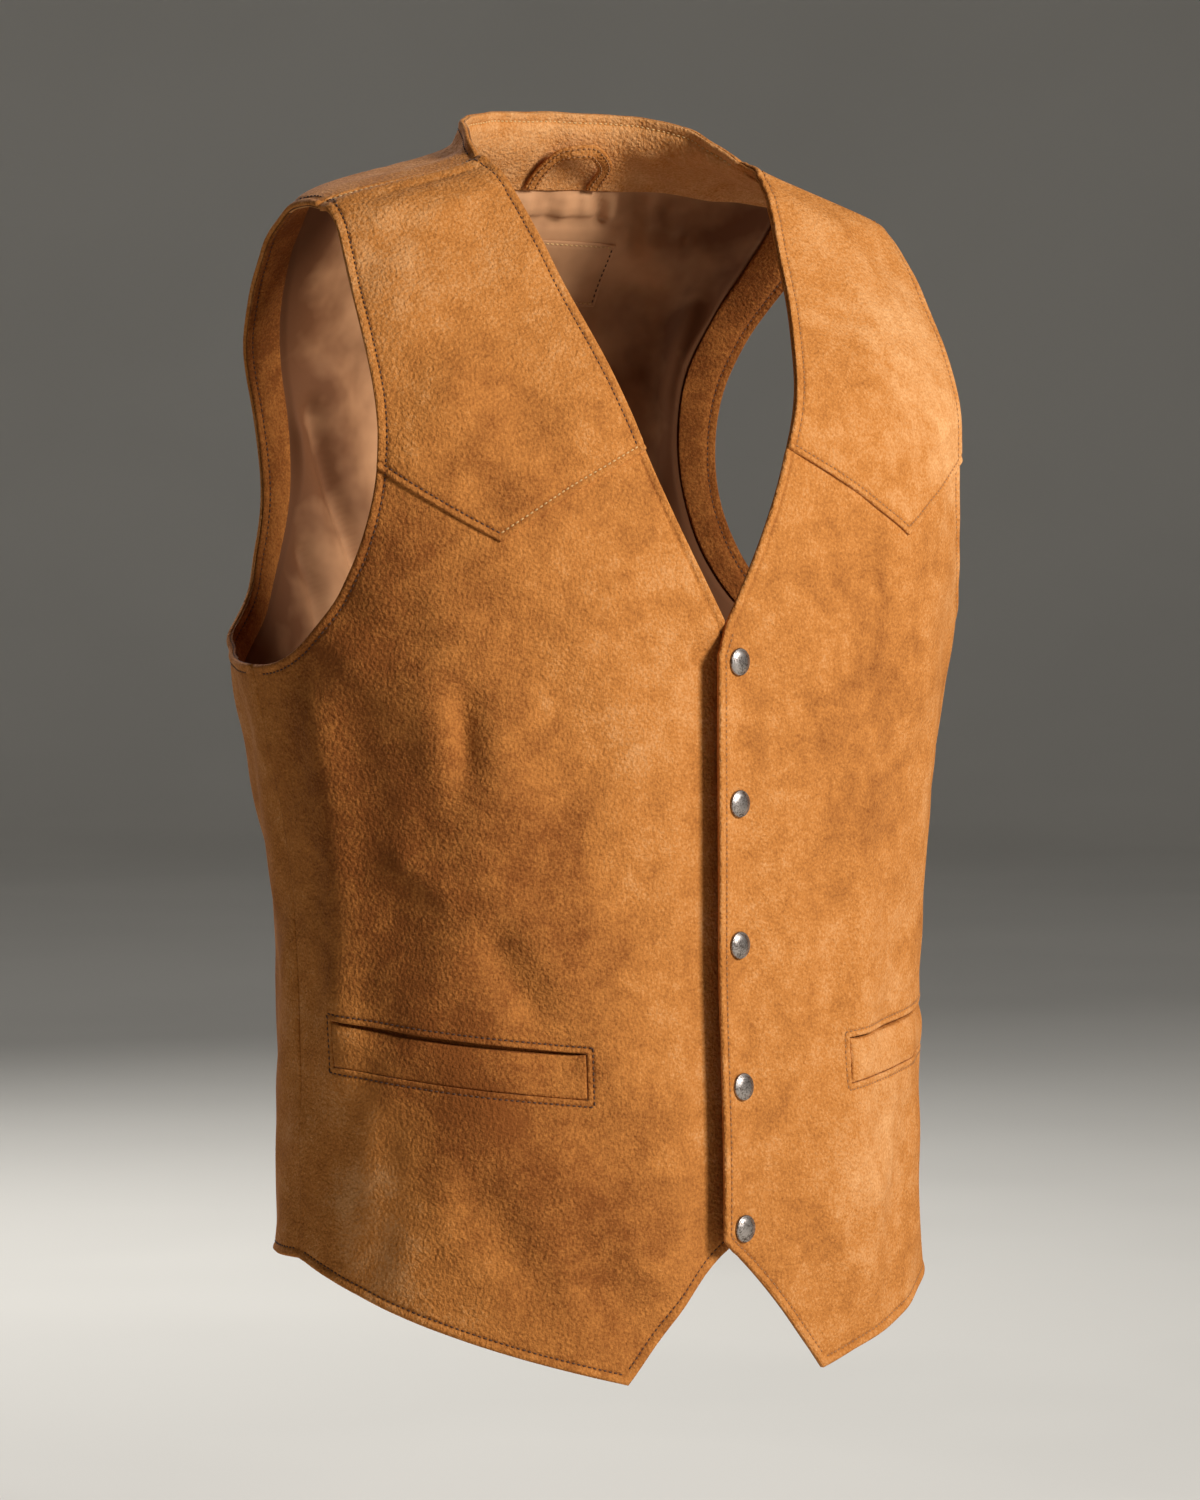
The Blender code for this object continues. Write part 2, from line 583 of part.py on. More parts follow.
def make_material(name, colour, roughness, metallic):
    material = bpy.data.materials.new(name)
    material.use_nodes = True
    shader = material.node_tree.nodes["Principled BSDF"]
    shader.inputs["Base Color"].default_value = (*colour, 1.0)
    shader.inputs["Roughness"].default_value = roughness
    shader.inputs["Metallic"].default_value = metallic
    return material


def main():
    for old in list(bpy.data.objects):
        bpy.data.objects.remove(old)
    materials = {name: make_material(name, *look) for name, look in COLOURS.items()}
    make_front(-1, materials)
    make_front(1, materials)
    make_back(materials)
    make_loop(materials)
    make_snaps(materials["antique_nickel"])


main()
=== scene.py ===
"""Looks of the suede vest: cloth with turned edges and creases, stitches, snaps and a plain stage.

Laid out as an add-on and run as a script. Metres, +Z up; the front faces -Y and the wearer's left is +X.
Every piece of cloth is a function of two parameters: columns round the body and rows from the hem up give
a place, its angle and level, on one body surface, and the cloth lies there with its own thickness, edges
and creases. The angle is 0 at the centre front, 90 degrees along the side and shoulder seams and 180 at
the centre back; the level is the height before the shoulders are sheared up towards the back.
"""

import math
from collections import namedtuple

import bpy
import numpy as np
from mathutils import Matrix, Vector


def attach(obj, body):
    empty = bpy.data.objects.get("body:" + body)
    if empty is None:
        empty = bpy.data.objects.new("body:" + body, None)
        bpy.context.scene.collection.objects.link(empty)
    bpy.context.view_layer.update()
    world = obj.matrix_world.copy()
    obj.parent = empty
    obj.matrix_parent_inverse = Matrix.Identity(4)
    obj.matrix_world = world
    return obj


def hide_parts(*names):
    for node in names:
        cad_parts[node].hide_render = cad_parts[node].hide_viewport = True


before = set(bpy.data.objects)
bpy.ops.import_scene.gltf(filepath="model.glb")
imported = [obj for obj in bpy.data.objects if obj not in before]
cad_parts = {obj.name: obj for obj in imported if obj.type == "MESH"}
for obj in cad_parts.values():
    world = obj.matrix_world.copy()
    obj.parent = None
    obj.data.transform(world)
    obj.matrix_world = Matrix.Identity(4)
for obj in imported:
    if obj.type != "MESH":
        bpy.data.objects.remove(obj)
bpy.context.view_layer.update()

bl_info = {
    "name": "Suede vest",
    "version": (1, 0, 0),
    "blender": (4, 5, 0),
    "location": "View3D > Sidebar > Vest",
    "description": "Dresses the packed vest in suede, lining, stitches and snaps",
    "category": "Object",
}

# Body sections, from below the hem up to the neck
SECTION_COLUMNS = ("level", "half_width", "front_depth", "back_depth", "centre_y")
SECTIONS = np.array(
    [
        (-0.700, 0.200, 0.133, 0.112, -0.001),
        (-0.560, 0.190, 0.134, 0.103, -0.002),
        (-0.420, 0.193, 0.1275, 0.095, -0.003),
        (-0.255, 0.221, 0.130, 0.123, 0.000),
        (-0.140, 0.234, 0.118, 0.134, -0.003),
        (-0.029, 0.183, 0.053, 0.0875, -0.009),
        (0.000, 0.086, 0.029, 0.074, -0.018),
        (0.020, 0.079, 0.026, 0.067, -0.018),
    ]
)
SECTION_POWER = 2.31
SHOULDER_SHEAR, SHOULDER_SHEAR_POWER = 0.154, 0.55
LEFT_SHOULDER_DROP = 0.008
LEFT_DROP_ACROSS, LEFT_DROP_LEVELS = (0.05, 0.18), (-0.16, -0.03)
CHEST_LEVEL, SHOULDER_TIP_LEVEL = SECTIONS[3, 0], SECTIONS[5, 0]
NECK_HALF_WIDTH = SECTIONS[6, 1]
# Where a panel stops before a seam, in radians: below zero, so that panels overlap and no slit shows
SEAM_ANGLE = -0.0012
SLOPE_STEP = 2e-4

# Layers: how far the inner and outer faces stand off the body surface
FRONT_HALF = 0.0010
YOKE_LAYER = (0.0012, 0.0026)
BACK_LAYER = (-0.0008, 0.0010)
LINING_LAYER = (-0.0021, -0.0011)
FACING_LAYER = (-0.0038, -0.0026)
WELT_LAYER = (-0.0012, 0.0006)

# Front edges, neckline, hem and armholes
OVERLAP, UNDERLAP = 0.009, 0.021
LAP_LIFT, LAP_FADE = 0.0013, (0.022, 0.075)
LAP_CURL, LAP_CURL_WIDTH = 0.0048, 0.028
UNDERLAP_SINK, UNDERLAP_SINK_ACROSS, UNDERLAP_SINK_LEVELS = 0.0045, (-0.034, -0.010), (-0.275, -0.255)
NECKLINE_RUN, NECKLINE_BOW = 0.353, 0.012
HEM_POINT_X, HEM_POINT_LEVEL = 0.064, -0.660
HEM_FRONT_RISE, HEM_SIDE_LEVEL = 1.027, -0.596
UNDERARM_LEVEL = -0.274
# Each armhole half: its scoop in degrees, its lean and its roundness
FRONT_ARMHOLE = (38.3, 1.17, 0.38)
BACK_ARMHOLE = (51.8, 0.81, 0.40)
ARMHOLE_ROW_GRADING, UNDERARM_ROW_DIP = 1.4, 0.030

# Yoke, pockets and snaps
YOKE_INNER_LEVEL, YOKE_OUTER_LEVEL = -0.148, -0.1615
YOKE_POINT_X, YOKE_POINT_LEVEL = 0.132, -0.202
POCKET_INNER_LEVEL, POCKET_OUTER_LEVEL = -0.481, -0.464
POCKET_HEIGHT, POCKET_INNER_X, POCKET_OUTER_DEGREES = 0.025, 0.085, 77.5
WELT_MOUTH_ENDS, WELT_MOUTH_SAG, WELT_MOUTH_POWER = 0.0006, 0.0024, 0.8
SNAP_COUNT, SNAP_PITCH, SNAP_TOP_LEVEL = 5, 0.0765, -0.2731
SNAP_X, SNAP_RADIUS, SNAP_GAP = 0.006, 0.0075, 0.0003

# Back neck, facings, hanger loop and patch
BACK_NECK_RISE, NECK_EDGE_POWER, NECK_CORNER_SHARE, FACING_SHARE = 0.016, 5, 0.5, 0.82
FACING_CENTRE_LEVEL, FACING_OUTER_LEVEL = -0.0275, -0.036
FACING_SIDE_RISE, FACING_RISE_POWER, FACING_ROW_POWER = 0.0095, 1.6, 8
LOOP_X, LOOP_HALF_SPAN, LOOP_RISE, LOOP_BASE_LEVEL = 0.026, 0.0205, 0.0245, -0.0250
LOOP_STRAP, LOOP_STAND_OFF = (0.0085, 0.0022), (0.0055, 0.0120)
LOOP_WIDTH_POWER, LOOP_ARCH_POWER = 0.8, 0.7

# Main folds, ridges with a positive height and troughs with a negative one, each along a line:
# angle from, level from, angle to, level to, half width, height. Angles are in degrees, and those of the
# right side run from 0 to -90 on the front and from 270 to 180 on the back.
FOLDS = (
    (-41.0, -0.294, -42.0, -0.326, 0.0095, -0.0050),
    (-48.0, -0.284, -46.8, -0.318, 0.0150, 0.0026),
    (-45.0, -0.352, -43.5, -0.410, 0.0200, 0.0016),
    (-39.5, -0.424, -33.0, -0.454, 0.0110, -0.0034),
    (-36.5, -0.398, -29.0, -0.436, 0.0140, 0.0018),
    (-64.0, -0.310, -60.0, -0.400, 0.0280, -0.0040),
    (-58.0, -0.378, -49.0, -0.396, 0.0090, 0.0026),
    (-73, -0.300, -77, -0.490, 0.015, 0.0045),
    (-31, -0.460, -22, -0.560, 0.022, -0.0026),
    (-46, -0.560, -18, -0.620, 0.020, -0.0026),
    (-30, -0.540, -12, -0.600, 0.016, 0.0024),
    (-30, -0.090, -22, -0.160, 0.018, -0.0022),
    (34, -0.330, 38, -0.470, 0.018, -0.0022),
    (56, -0.190, 60, -0.310, 0.030, -0.0024),
    (26, -0.440, 20, -0.590, 0.018, 0.0020),
    (44, -0.540, 36, -0.620, 0.020, -0.0024),
    (220, -0.330, 210, -0.520, 0.026, -0.0045),
    (240, -0.340, 232, -0.540, 0.024, 0.0040),
    (138, -0.310, 148, -0.500, 0.026, -0.0042),
    (118, -0.330, 124, -0.530, 0.024, 0.0042),
    (256, -0.230, 254, -0.330, 0.026, -0.0034),
    (104, -0.230, 106, -0.330, 0.026, -0.0030),
    (195, -0.110, 230, -0.240, 0.024, -0.0030),
    (168, -0.120, 132, -0.230, 0.024, -0.0030),
)
# Smaller creases that only the cloth shows, in the same columns
CREASES = (
    (-41.6, -0.302, -42.0, -0.318, 0.0052, -0.0026),
    (-36.5, -0.306, -35.0, -0.340, 0.0140, 0.0014),
    (-43.5, -0.336, -46.5, -0.372, 0.0090, -0.0014),
    (-53.0, -0.330, -51.0, -0.362, 0.0110, -0.0014),
    (-27.0, -0.300, -25.0, -0.380, 0.0200, -0.0016),
    (-63.0, -0.236, -50.0, -0.268, 0.0110, -0.0018),
    (-67.0, -0.258, -56.0, -0.292, 0.0100, 0.0016),
    (-52.0, -0.215, -47.0, -0.262, 0.0110, -0.0012),
    (-26.0, -0.250, -20.0, -0.330, 0.0180, -0.0010),
    (-40.0, -0.575, -34.0, -0.606, 0.0120, -0.0016),
    (-30.0, -0.585, -26.0, -0.618, 0.0100, 0.0015),
    (-20.0, -0.592, -15.0, -0.628, 0.0100, -0.0013),
    (-34.0, -0.515, -31.0, -0.560, 0.0110, -0.0010),
    (-52.0, -0.520, -50.0, -0.580, 0.0130, 0.0012),
    (-64.0, -0.520, -66.0, -0.580, 0.0120, -0.0014),
    (-25.0, -0.105, -33.0, -0.175, 0.0120, -0.0010),
    (-38.0, -0.120, -46.0, -0.160, 0.0110, 0.0010),
    (20.0, -0.350, 18.0, -0.500, 0.0120, -0.0011),
    (29.0, -0.390, 27.0, -0.560, 0.0110, 0.0011),
    (45.0, -0.330, 43.0, -0.520, 0.0150, -0.0014),
    (24.0, -0.590, 15.0, -0.635, 0.0110, -0.0012),
    (33.0, -0.560, 31.0, -0.620, 0.0110, 0.0010),
    (30.0, -0.110, 38.0, -0.180, 0.0120, -0.0011),
    (22.0, -0.225, 33.0, -0.300, 0.0140, -0.0011),
    (160.0, -0.360, 164.0, -0.560, 0.0160, -0.0016),
    (176.0, -0.300, 172.0, -0.480, 0.0140, 0.0014),
    (196.0, -0.380, 200.0, -0.570, 0.0160, -0.0015),
    (112.0, -0.260, 128.0, -0.320, 0.0120, -0.0018),
    (246.0, -0.262, 230.0, -0.330, 0.0120, -0.0017),
    (150.0, -0.520, 140.0, -0.585, 0.0130, -0.0014),
    (214.0, -0.520, 226.0, -0.585, 0.0130, -0.0014),
)
FOLD_GIRTH_RADIUS = 0.165
# Slight unevenness of the cloth: wave length round the body and up it, phase in turns, height
WAVES = (
    (0.083, 0.210, 0.10, 0.00045),
    (-0.061, 0.118, 0.55, 0.00035),
    (0.047, 0.071, 0.30, 0.00022),
    (0.150, -0.052, 0.80, 0.00028),
    (-0.036, 0.055, 0.20, 0.00014),
)
WAVE_CALM_DEGREES = (4.0, 14.0)

# Brushed nap and painted light and shade, darker or lighter: columns of FOLDS with a tone in place of a
# height
NAP_AND_PAINTED_LIGHT_STROKES = (
    (-58, -0.345, -60, -0.420, 0.050, -0.32),
    (-40, -0.250, -30, -0.330, 0.050, -0.14),
    (-54, -0.205, -62, -0.250, 0.042, -0.32),
    (-24, -0.360, -20, -0.420, 0.030, -0.12),
    (-34, -0.380, -30, -0.430, 0.040, -0.22),
    (-12, -0.280, -16, -0.400, 0.028, 0.06),
    (-74, -0.300, -72, -0.360, 0.050, -0.22),
    (-45, -0.510, -22, -0.590, 0.052, -0.34),
    (-22, -0.470, -14, -0.540, 0.030, -0.06),
    (-60, -0.470, -45, -0.490, 0.035, -0.20),
    (-74, -0.550, -64, -0.590, 0.030, 0.14),
    (-36, -0.110, -26, -0.170, 0.036, -0.20),
    (-48, -0.080, -60, -0.060, 0.030, 0.12),
    (18, -0.230, 30, -0.250, 0.030, -0.16),
    (26, -0.300, 24, -0.360, 0.032, -0.16),
    (34, -0.480, 30, -0.560, 0.035, 0.22),
    (14, -0.520, 12, -0.580, 0.022, -0.08),
    (40, -0.090, 50, -0.160, 0.040, 0.24),
    (150, -0.300, 160, -0.420, 0.050, -0.16),
    (205, -0.180, 215, -0.300, 0.050, 0.12),
    (190, -0.500, 210, -0.540, 0.050, -0.14),
    (110, -0.420, 118, -0.520, 0.045, -0.16),
    (250, -0.400, 240, -0.500, 0.045, -0.14),
)

# Rows of cells on the fronts: guide at the top of the band, its height, fine cells at its foot and its top
FRONT_BANDS = (
    ("pocket_bottom", 0.130, True, True),
    ("pocket_top", 0.025, True, True),
    ("chest", 0.200, True, False),
    ("yoke", 0.115, False, True),
    ("shoulder", 0.200, True, True),
)
BACK_BANDS = (("underarm", 0.320, True, False), ("facing", 0.250, False, True), ("top", 0.045, True, True))
FRONT_GIRTH, BACK_HALF_GIRTH = 0.270, 0.280
# How much wider than usual the cells of the back and its lining are: columns, then each band of rows
BACK_GROWTH = {"columns": 1.3, "underarm": 1.3, "facing": 1.3, "top": 1.3}
LINING_GROWTH = {"columns": 0.6, "underarm": 2.0, "facing": 0.85, "top": 1.2}
# How far from a line cells stay fine, the steps of their grading, and how much denser lines are for distances
FINE_BAND, GRADING_STEPS, LINE_DENSITY = 0.007, 600, 4

# Edges, rows of stitches, seams, yokes and welts: heights, widths, tones, and painted shade and light
EDGE_STEP, YOKE_COVER = 0.0034, 0.004
# The groove and seam shades are painted shade, darkening the suede along rows of stitches and seams
GROOVE_DEPTH, GROOVE_WIDTH, GROOVE_PAINTED_SHADE = 0.00050, 0.0008, -0.20
SHOULDER_DIP, SIDE_DIP, SEAM_ROLL, SEAM_PAINTED_SHADE = 0.0008, 0.0016, 0.0018, -0.5
SHOULDER_SINK, SHOULDER_SINK_WIDTH = 0.0016, 0.012
POCKET_LIP, POCKET_ROLL = 0.0002, 0.0010
YOKE_TURN, YOKE_ROLL = 0.0003, 0.0010
# The facings' painted light: the neck facing is lightened and the armhole facings are darkened
YOKE_TONE, FACING_PAINTED_LIGHT, SHOULDER_INSET = 0.02, {"neck": 0.22, "armhole": -0.36}, 0.0030
WELT_ROLL, WELT_CROWN, WELT_CROWN_POWER, WELT_TILT, WELT_TILT_FROM = 0.0014, 0.0010, 0.7, 0.0012, 0.55
# The welt's own seam allowance, tucked up behind the window: height, depth, drop's run, rows, painted shade
WELT_TUCK, WELT_TUCK_DEPTH, WELT_TUCK_DROP, WELT_TUCK_ROWS, WELT_TUCK_PAINTED_SHADE = 0.0065, -0.0036, 0.0013, 10, -0.5
EDGE_ABOVE, THINNEST = 0.96, 1e-5
# Points in one block of distances
DISTANCE_BLOCK = 4000

# Inside of the back: the lining's trim at the hem, its ease, and the bands where facings close on the edge
LINING_HEM_RISE, LINING_EASE, LINING_EASE_WIDTH = 0.0102, 0.0042, 0.034
LINING_SQUEEZE, LINING_SQUEEZED = (0.0060, 0.0110), (-0.00112, -0.00100)
FACING_SHIFT, FACING_SHIFT_BAND, FACING_ROLL = 0.0014, (0.0040, 0.0090), 0.0011
FACING_FIRST_SWING, FACING_INSET, BAND_FADE = 0.083, 0.0048, (0.030, 0.10)
# Rows from the neck facing's lower edge down to a place that counts as inside the back
FACING_ROWS_BELOW = 5
GATHER_FADE, LINING_FOLD_SCALE = 0.0035, 1.4
# Painted shade on the lining beside the armholes: how much darker it is, and how far in that fades
LINING_PAINTED_SHADE, LINING_PAINTED_SHADE_WIDTH = 0.70, 0.120
# Gathers and folds of the lining, in the columns of FOLDS; a positive height stands towards the wearer
LINING_FOLDS = (
    (179.0, -0.030, 178.6, -0.039, 0.0030, 0.0016),
    (175.6, -0.030, 175.2, -0.042, 0.0026, -0.0012),
    (172.5, -0.030, 172.8, -0.040, 0.0034, 0.0014),
    (169.0, -0.030, 168.8, -0.038, 0.0024, 0.0011),
    (166.4, -0.029, 166.0, -0.043, 0.0022, -0.0022),
    (163.9, -0.030, 164.2, -0.041, 0.0030, 0.0020),
    (160.6, -0.031, 159.6, -0.056, 0.0042, -0.0030),
    (157.4, -0.032, 157.0, -0.046, 0.0034, 0.0018),
    (154.4, -0.033, 153.8, -0.043, 0.0026, -0.0012),
    (151.8, -0.034, 151.4, -0.045, 0.0034, 0.0012),
    (148.0, -0.036, 147.0, -0.046, 0.0030, -0.0010),
    (183.0, -0.030, 183.4, -0.040, 0.0030, -0.0014),
    (186.5, -0.030, 186.0, -0.041, 0.0032, 0.0015),
    (190.5, -0.031, 191.0, -0.040, 0.0028, -0.0014),
    (194.5, -0.032, 194.0, -0.042, 0.0034, 0.0014),
    (199.0, -0.033, 200.0, -0.046, 0.0030, -0.0016),
    (204.0, -0.035, 204.6, -0.045, 0.0034, 0.0013),
    (192.0, -0.0430, 166.0, -0.0440, 0.0026, -0.0022),
    (192.0, -0.0395, 166.0, -0.0400, 0.0030, 0.0012),
    (166.0, -0.0440, 150.0, -0.0480, 0.0026, -0.0020),
    (155.0, -0.056, 152.0, -0.074, 0.0110, 0.0034),
    (147.2, -0.088, 151.0, -0.146, 0.0060, -0.0034),
    (143.6, -0.084, 147.4, -0.150, 0.0095, 0.0032),
    (152.0, -0.092, 155.0, -0.150, 0.0110, 0.0020),
    (164.0, -0.100, 156.0, -0.180, 0.0150, 0.0026),
    (150.5, -0.150, 153.5, -0.225, 0.0060, -0.0022),
    (146.0, -0.160, 148.0, -0.235, 0.0110, 0.0022),
    (207.0, -0.150, 199.0, -0.230, 0.0048, -0.0040),
    (211.0, -0.165, 203.0, -0.240, 0.0100, 0.0030),
    (203.0, -0.135, 195.5, -0.220, 0.0110, 0.0028),
    (210.5, -0.222, 208.0, -0.270, 0.0045, -0.0032),
    (207.0, -0.240, 204.5, -0.285, 0.0100, 0.0024),
    (182.0, -0.180, 178.0, -0.420, 0.0180, -0.0030),
    (168.0, -0.260, 160.0, -0.500, 0.0200, 0.0030),
    (200.0, -0.300, 206.0, -0.520, 0.0200, 0.0030),
)
PATCH_CORNERS = ((187.0, -0.0915), (165.2, -0.0915), (162.5, -0.0550), (187.0, -0.0530))
PATCH_THICKNESS, PATCH_GAP, PATCH_INSET = 0.0009, 0.00015, 0.0022
PATCH_CELLS = (46, 96)

# Hanger loop and snap caps: cells along and round them, and the cap's radius shares and heights in mm
LOOP_CELLS, LOOP_PROFILE_POWER, LOOP_INSET, LOOP_END_TRIM = (72, 28), 3.2, 0.0019, 1e-4
SNAP_SIDES = 48
SNAP_RADII = (0.86, 0.95, 1.0, 1.0, 0.985, 0.95, 0.90, 0.87, 0.84, 0.79, 0.70, 0.58, 0.45, 0.30, 0.15, 0.05)
SNAP_HEIGHTS = (0.0, 0.1, 0.5, 0.9, 1.3, 1.65, 1.86, 1.80, 1.86, 2.12, 2.50, 2.80, 2.98, 3.10, 3.17, 3.2)

# Stitches: stations along each one, its thickness there and how far it sinks, in shares of its own sizes
STITCH_SIDES = 6
STITCH_STATIONS = (-1.0, -0.72, 0.0, 0.72, 1.0)
STITCH_SWELL = (0.35, 0.85, 1.0, 0.85, 0.35)
STITCH_SINK = (-0.55, -0.05, 0.20, -0.05, -0.55)

# Stage: the bowl of floor and wall, and where each light stands
BOWL_FLOOR, BOWL_BEND, BOWL_HEIGHT, BOWL_CELLS = 7.0, 2.5, 6.0, (48, 96)
BOWL_FLOOR_SHARE, BOWL_BEND_SHARE, BOWL_POLE = 0.4, 0.4, 1e-5
SENSOR_WIDTH = 36
STAGE_TARGET = (0.0033, -0.0022, -0.3266)
# Each light's place, the place it looks at, its size and its spread in degrees
LIGHTS = {
    "key": ((0.91, -2.48, 0.86), STAGE_TARGET, 0.8, 180),
    "rim": ((-2.26, 0.90, 0.56), STAGE_TARGET, 0.9, 180),
    "backdrop": ((1.0, 3.0, 5.0), (2.5, 4.5, -0.8), 2.0, 120),
    "back": ((0.5, 2.6, 1.2), STAGE_TARGET, 1.4, 180),
}

# How dark the shaded yarn and the thin paint are, and the radians that a wave texture turns in its unit
YARN_SHADE, PAINT_SHADE, WAVE_TURN = 0.7, 0.96, 20

Cloth = namedtuple("Cloth", "places points normals")


def linear(hex_colour):
    """An sRGB hex colour as linear red, green and blue."""
    parts = np.array([int(hex_colour[k : k + 2], 16) for k in (1, 3, 5)]) / 255
    return tuple(np.where(parts <= 0.04045, parts / 12.92, ((parts + 0.055) / 1.055) ** 2.4))


def length(title, text, value):
    return bpy.props.FloatProperty(name=title, description=text, default=value, unit="LENGTH", precision=5)


def power(title, text, value):
    return bpy.props.FloatProperty(name=title, description=text, default=value, subtype="POWER")


def bearing(title, text, degrees):
    value = math.radians(degrees)
    return bpy.props.FloatProperty(name=title, description=text, default=value, subtype="ANGLE")


def colour(title, text, hex_colour):
    return bpy.props.FloatVectorProperty(
        name=title, description=text, default=linear(hex_colour), subtype="COLOR", min=0, max=1
    )


class VestSizes(bpy.types.PropertyGroup):
    """Sizes of the cloth's edges and of the sewing."""

    rim: length("Rim", "Half the thickness of a turned edge", 0.0017)
    inset: length("Stitch inset", "From a turned edge to its row of stitches", 0.0050)
    yoke_inset: length("Yoke inset", "From the yoke's lower edge to its stitches", 0.0038)
    pocket_inset: length("Pocket inset", "From a pocket's window to its stitches", 0.0034)
    pitch: length("Stitch pitch", "From one stitch to the next", 0.0031)
    stitch: length("Stitch length", "Length of the thread that shows in one stitch", 0.0024)
    thread: length("Thread", "Thickness of the sewing thread", 0.00095)
    fine: length("Fine cell", "Size of the mesh cells near edges", 0.0006)
    coarse: length("Coarse cell", "Size of the mesh cells elsewhere", 0.0034)
    gather: length("Gathers", "Height of the lining's gathers under the neck facing", 0.0030)


class VestColours(bpy.types.PropertyGroup):
    """Colours of the cloth, thread and metal."""

    suede_dark: colour("Suede dark", "Nap brushed away from the light", "#7E461B")
    suede_mid: colour("Suede", "The suede's main colour", "#B77436")
    suede_light: colour("Suede light", "Nap brushed towards the light", "#D79E67")
    lining: colour("Lining", "Woven lining", "#D09C70")
    lining_shade: colour("Lining shade", "Darker threads of the lining", "#B2825A")
    # Painted shade: the lining is darkened towards this colour beside the armholes
    lining_painted_shade_colour: colour("Lining deep", "The lining beside the armholes", "#684024")
    # The thread is tan: the pale and brown threads are copies of it with painted light and painted shade
    thread_painted_light: colour("Pale thread", "Thread on the right yoke, shoulders and neck", "#D6AA6E")
    thread_mid: colour("Tan thread", "Thread on the left front and the hanger loop", "#A06C3A")
    thread_painted_shade: colour("Brown thread", "Thread on the other edges and pockets", "#4E2C14")
    nickel: colour("Nickel", "Worn high places of the snap caps", "#A9A099")
    nickel_dark: colour("Nickel shade", "Antiquing left in the low places", "#574D46")
    floor: colour("Floor", "Pale studio floor", "#D8D4CC")


class VestStage(bpy.types.PropertyGroup):
    """Camera, light and floor."""

    azimuth: bearing("Azimuth", "Camera's turn round the vest", -33.43)
    elevation: bearing("Elevation", "Camera's rise", 3.16)
    distance: length("Distance", "Camera to the vest's middle", 4.056)
    lens: bpy.props.FloatProperty(name="Lens", description="Focal length in millimetres", default=175.9)
    floor_level: length("Floor level", "Height of the floor", -0.86)
    key: power("Key", "Power of the main light", 110)
    rim: power("Rim light", "Power of the light behind the right side", 2)
    back: power("Back light", "Power of the light on the vest's back", 60)
    backdrop: power("Backdrop light", "Power of the light on the floor behind", 24)
    sky: bpy.props.FloatProperty(name="Sky", description="Strength of the even light", default=0.015)


def section(column, level):
    """A section size at any level: a monotone cubic through the table, so that no size overshoots."""
    knots = SECTIONS[:, 0]
    sizes = SECTIONS[:, SECTION_COLUMNS.index(column)]
    step = np.diff(knots)
    rise = np.diff(sizes) / step
    before = 2 * step[1:] + step[:-1]
    after = step[1:] + 2 * step[:-1]
    safe = np.where(rise[:-1] * rise[1:] > 0, 1.0, np.nan)
    slope = np.concatenate(([rise[0]], rise[1:], [rise[-1]]))
    with np.errstate(divide="ignore", invalid="ignore"):
        mean = (before + after) / (before / rise[:-1] + after / rise[1:])
    slope[1:-1] = np.nan_to_num(mean * safe)
    level = np.asarray(level, float)
    k = np.clip(np.searchsorted(knots, level) - 1, 0, len(step) - 1)
    t = (level - knots[k]) / step[k]
    start = (1 + 2 * t) * (1 - t) ** 2 * sizes[k] + t * (1 - t) ** 2 * step[k] * slope[k]
    end = t * t * (3 - 2 * t) * sizes[k + 1] + t * t * (t - 1) * step[k] * slope[k + 1]
    return start + end


def smooth_step(low, high, value):
    """0 below low, 1 above high and 3t2 - 2t3 between them."""
    t = np.clip((value - low) / (high - low), 0, 1)
    return t * t * (3 - 2 * t)


def signed_power(value, power):
    return np.sign(value) * np.abs(value) ** power


def body_point(angle, level):
    """The smooth body: a superellipse at each level, sheared up towards the back, its left shoulder lower."""
    power = 2 / SECTION_POWER
    across = section("half_width", level) * signed_power(np.sin(angle), power)
    facing = np.cos(angle)
    depth = np.where(facing > 0, section("front_depth", level), section("back_depth", level))
    along = -depth * signed_power(facing, power)
    shear = SHOULDER_SHEAR * smooth_step(CHEST_LEVEL, 0.0, level) ** SHOULDER_SHEAR_POWER
    drop = LEFT_SHOULDER_DROP * smooth_step(*LEFT_DROP_ACROSS, across) * smooth_step(*LEFT_DROP_LEVELS, level)
    return np.stack([across, section("centre_y", level) + along, level + shear * along - drop], axis=-1)


def slopes(point_at, angle, level):
    """How a surface moves per radian of angle and per metre of level, from points a small step apart."""
    around = point_at(angle + SLOPE_STEP, level) - point_at(angle - SLOPE_STEP, level)
    up = point_at(angle, level + SLOPE_STEP) - point_at(angle, level - SLOPE_STEP)
    return around / (2 * SLOPE_STEP), up / (2 * SLOPE_STEP)


def unit(vectors):
    return vectors / np.linalg.norm(vectors, axis=-1, keepdims=True)


def outward(point_at, angle, level):
    """The outward normal: the cross product of the two slopes."""
    return unit(np.cross(*slopes(point_at, angle, level)))


def strokes(table, angle, level):
    """The sum of a table's strokes: a rounded bar along each line, fading past its sides and ends."""
    total = np.zeros(np.broadcast(angle, level).shape)
    for angle_from, level_from, angle_to, level_to, half_width, height in table:
        start = np.array([math.radians(angle_from) * FOLD_GIRTH_RADIUS, level_from])
        run = np.array([math.radians(angle_to) * FOLD_GIRTH_RADIUS, level_to]) - start
        side = angle * FOLD_GIRTH_RADIUS - start[0]
        rise = level - start[1]
        share = np.clip((side * run[0] + rise * run[1]) / (run @ run), 0, 1)
        away = (side - share * run[0]) ** 2 + (rise - share * run[1]) ** 2
        total += height * np.exp(-away / half_width**2)
    return total


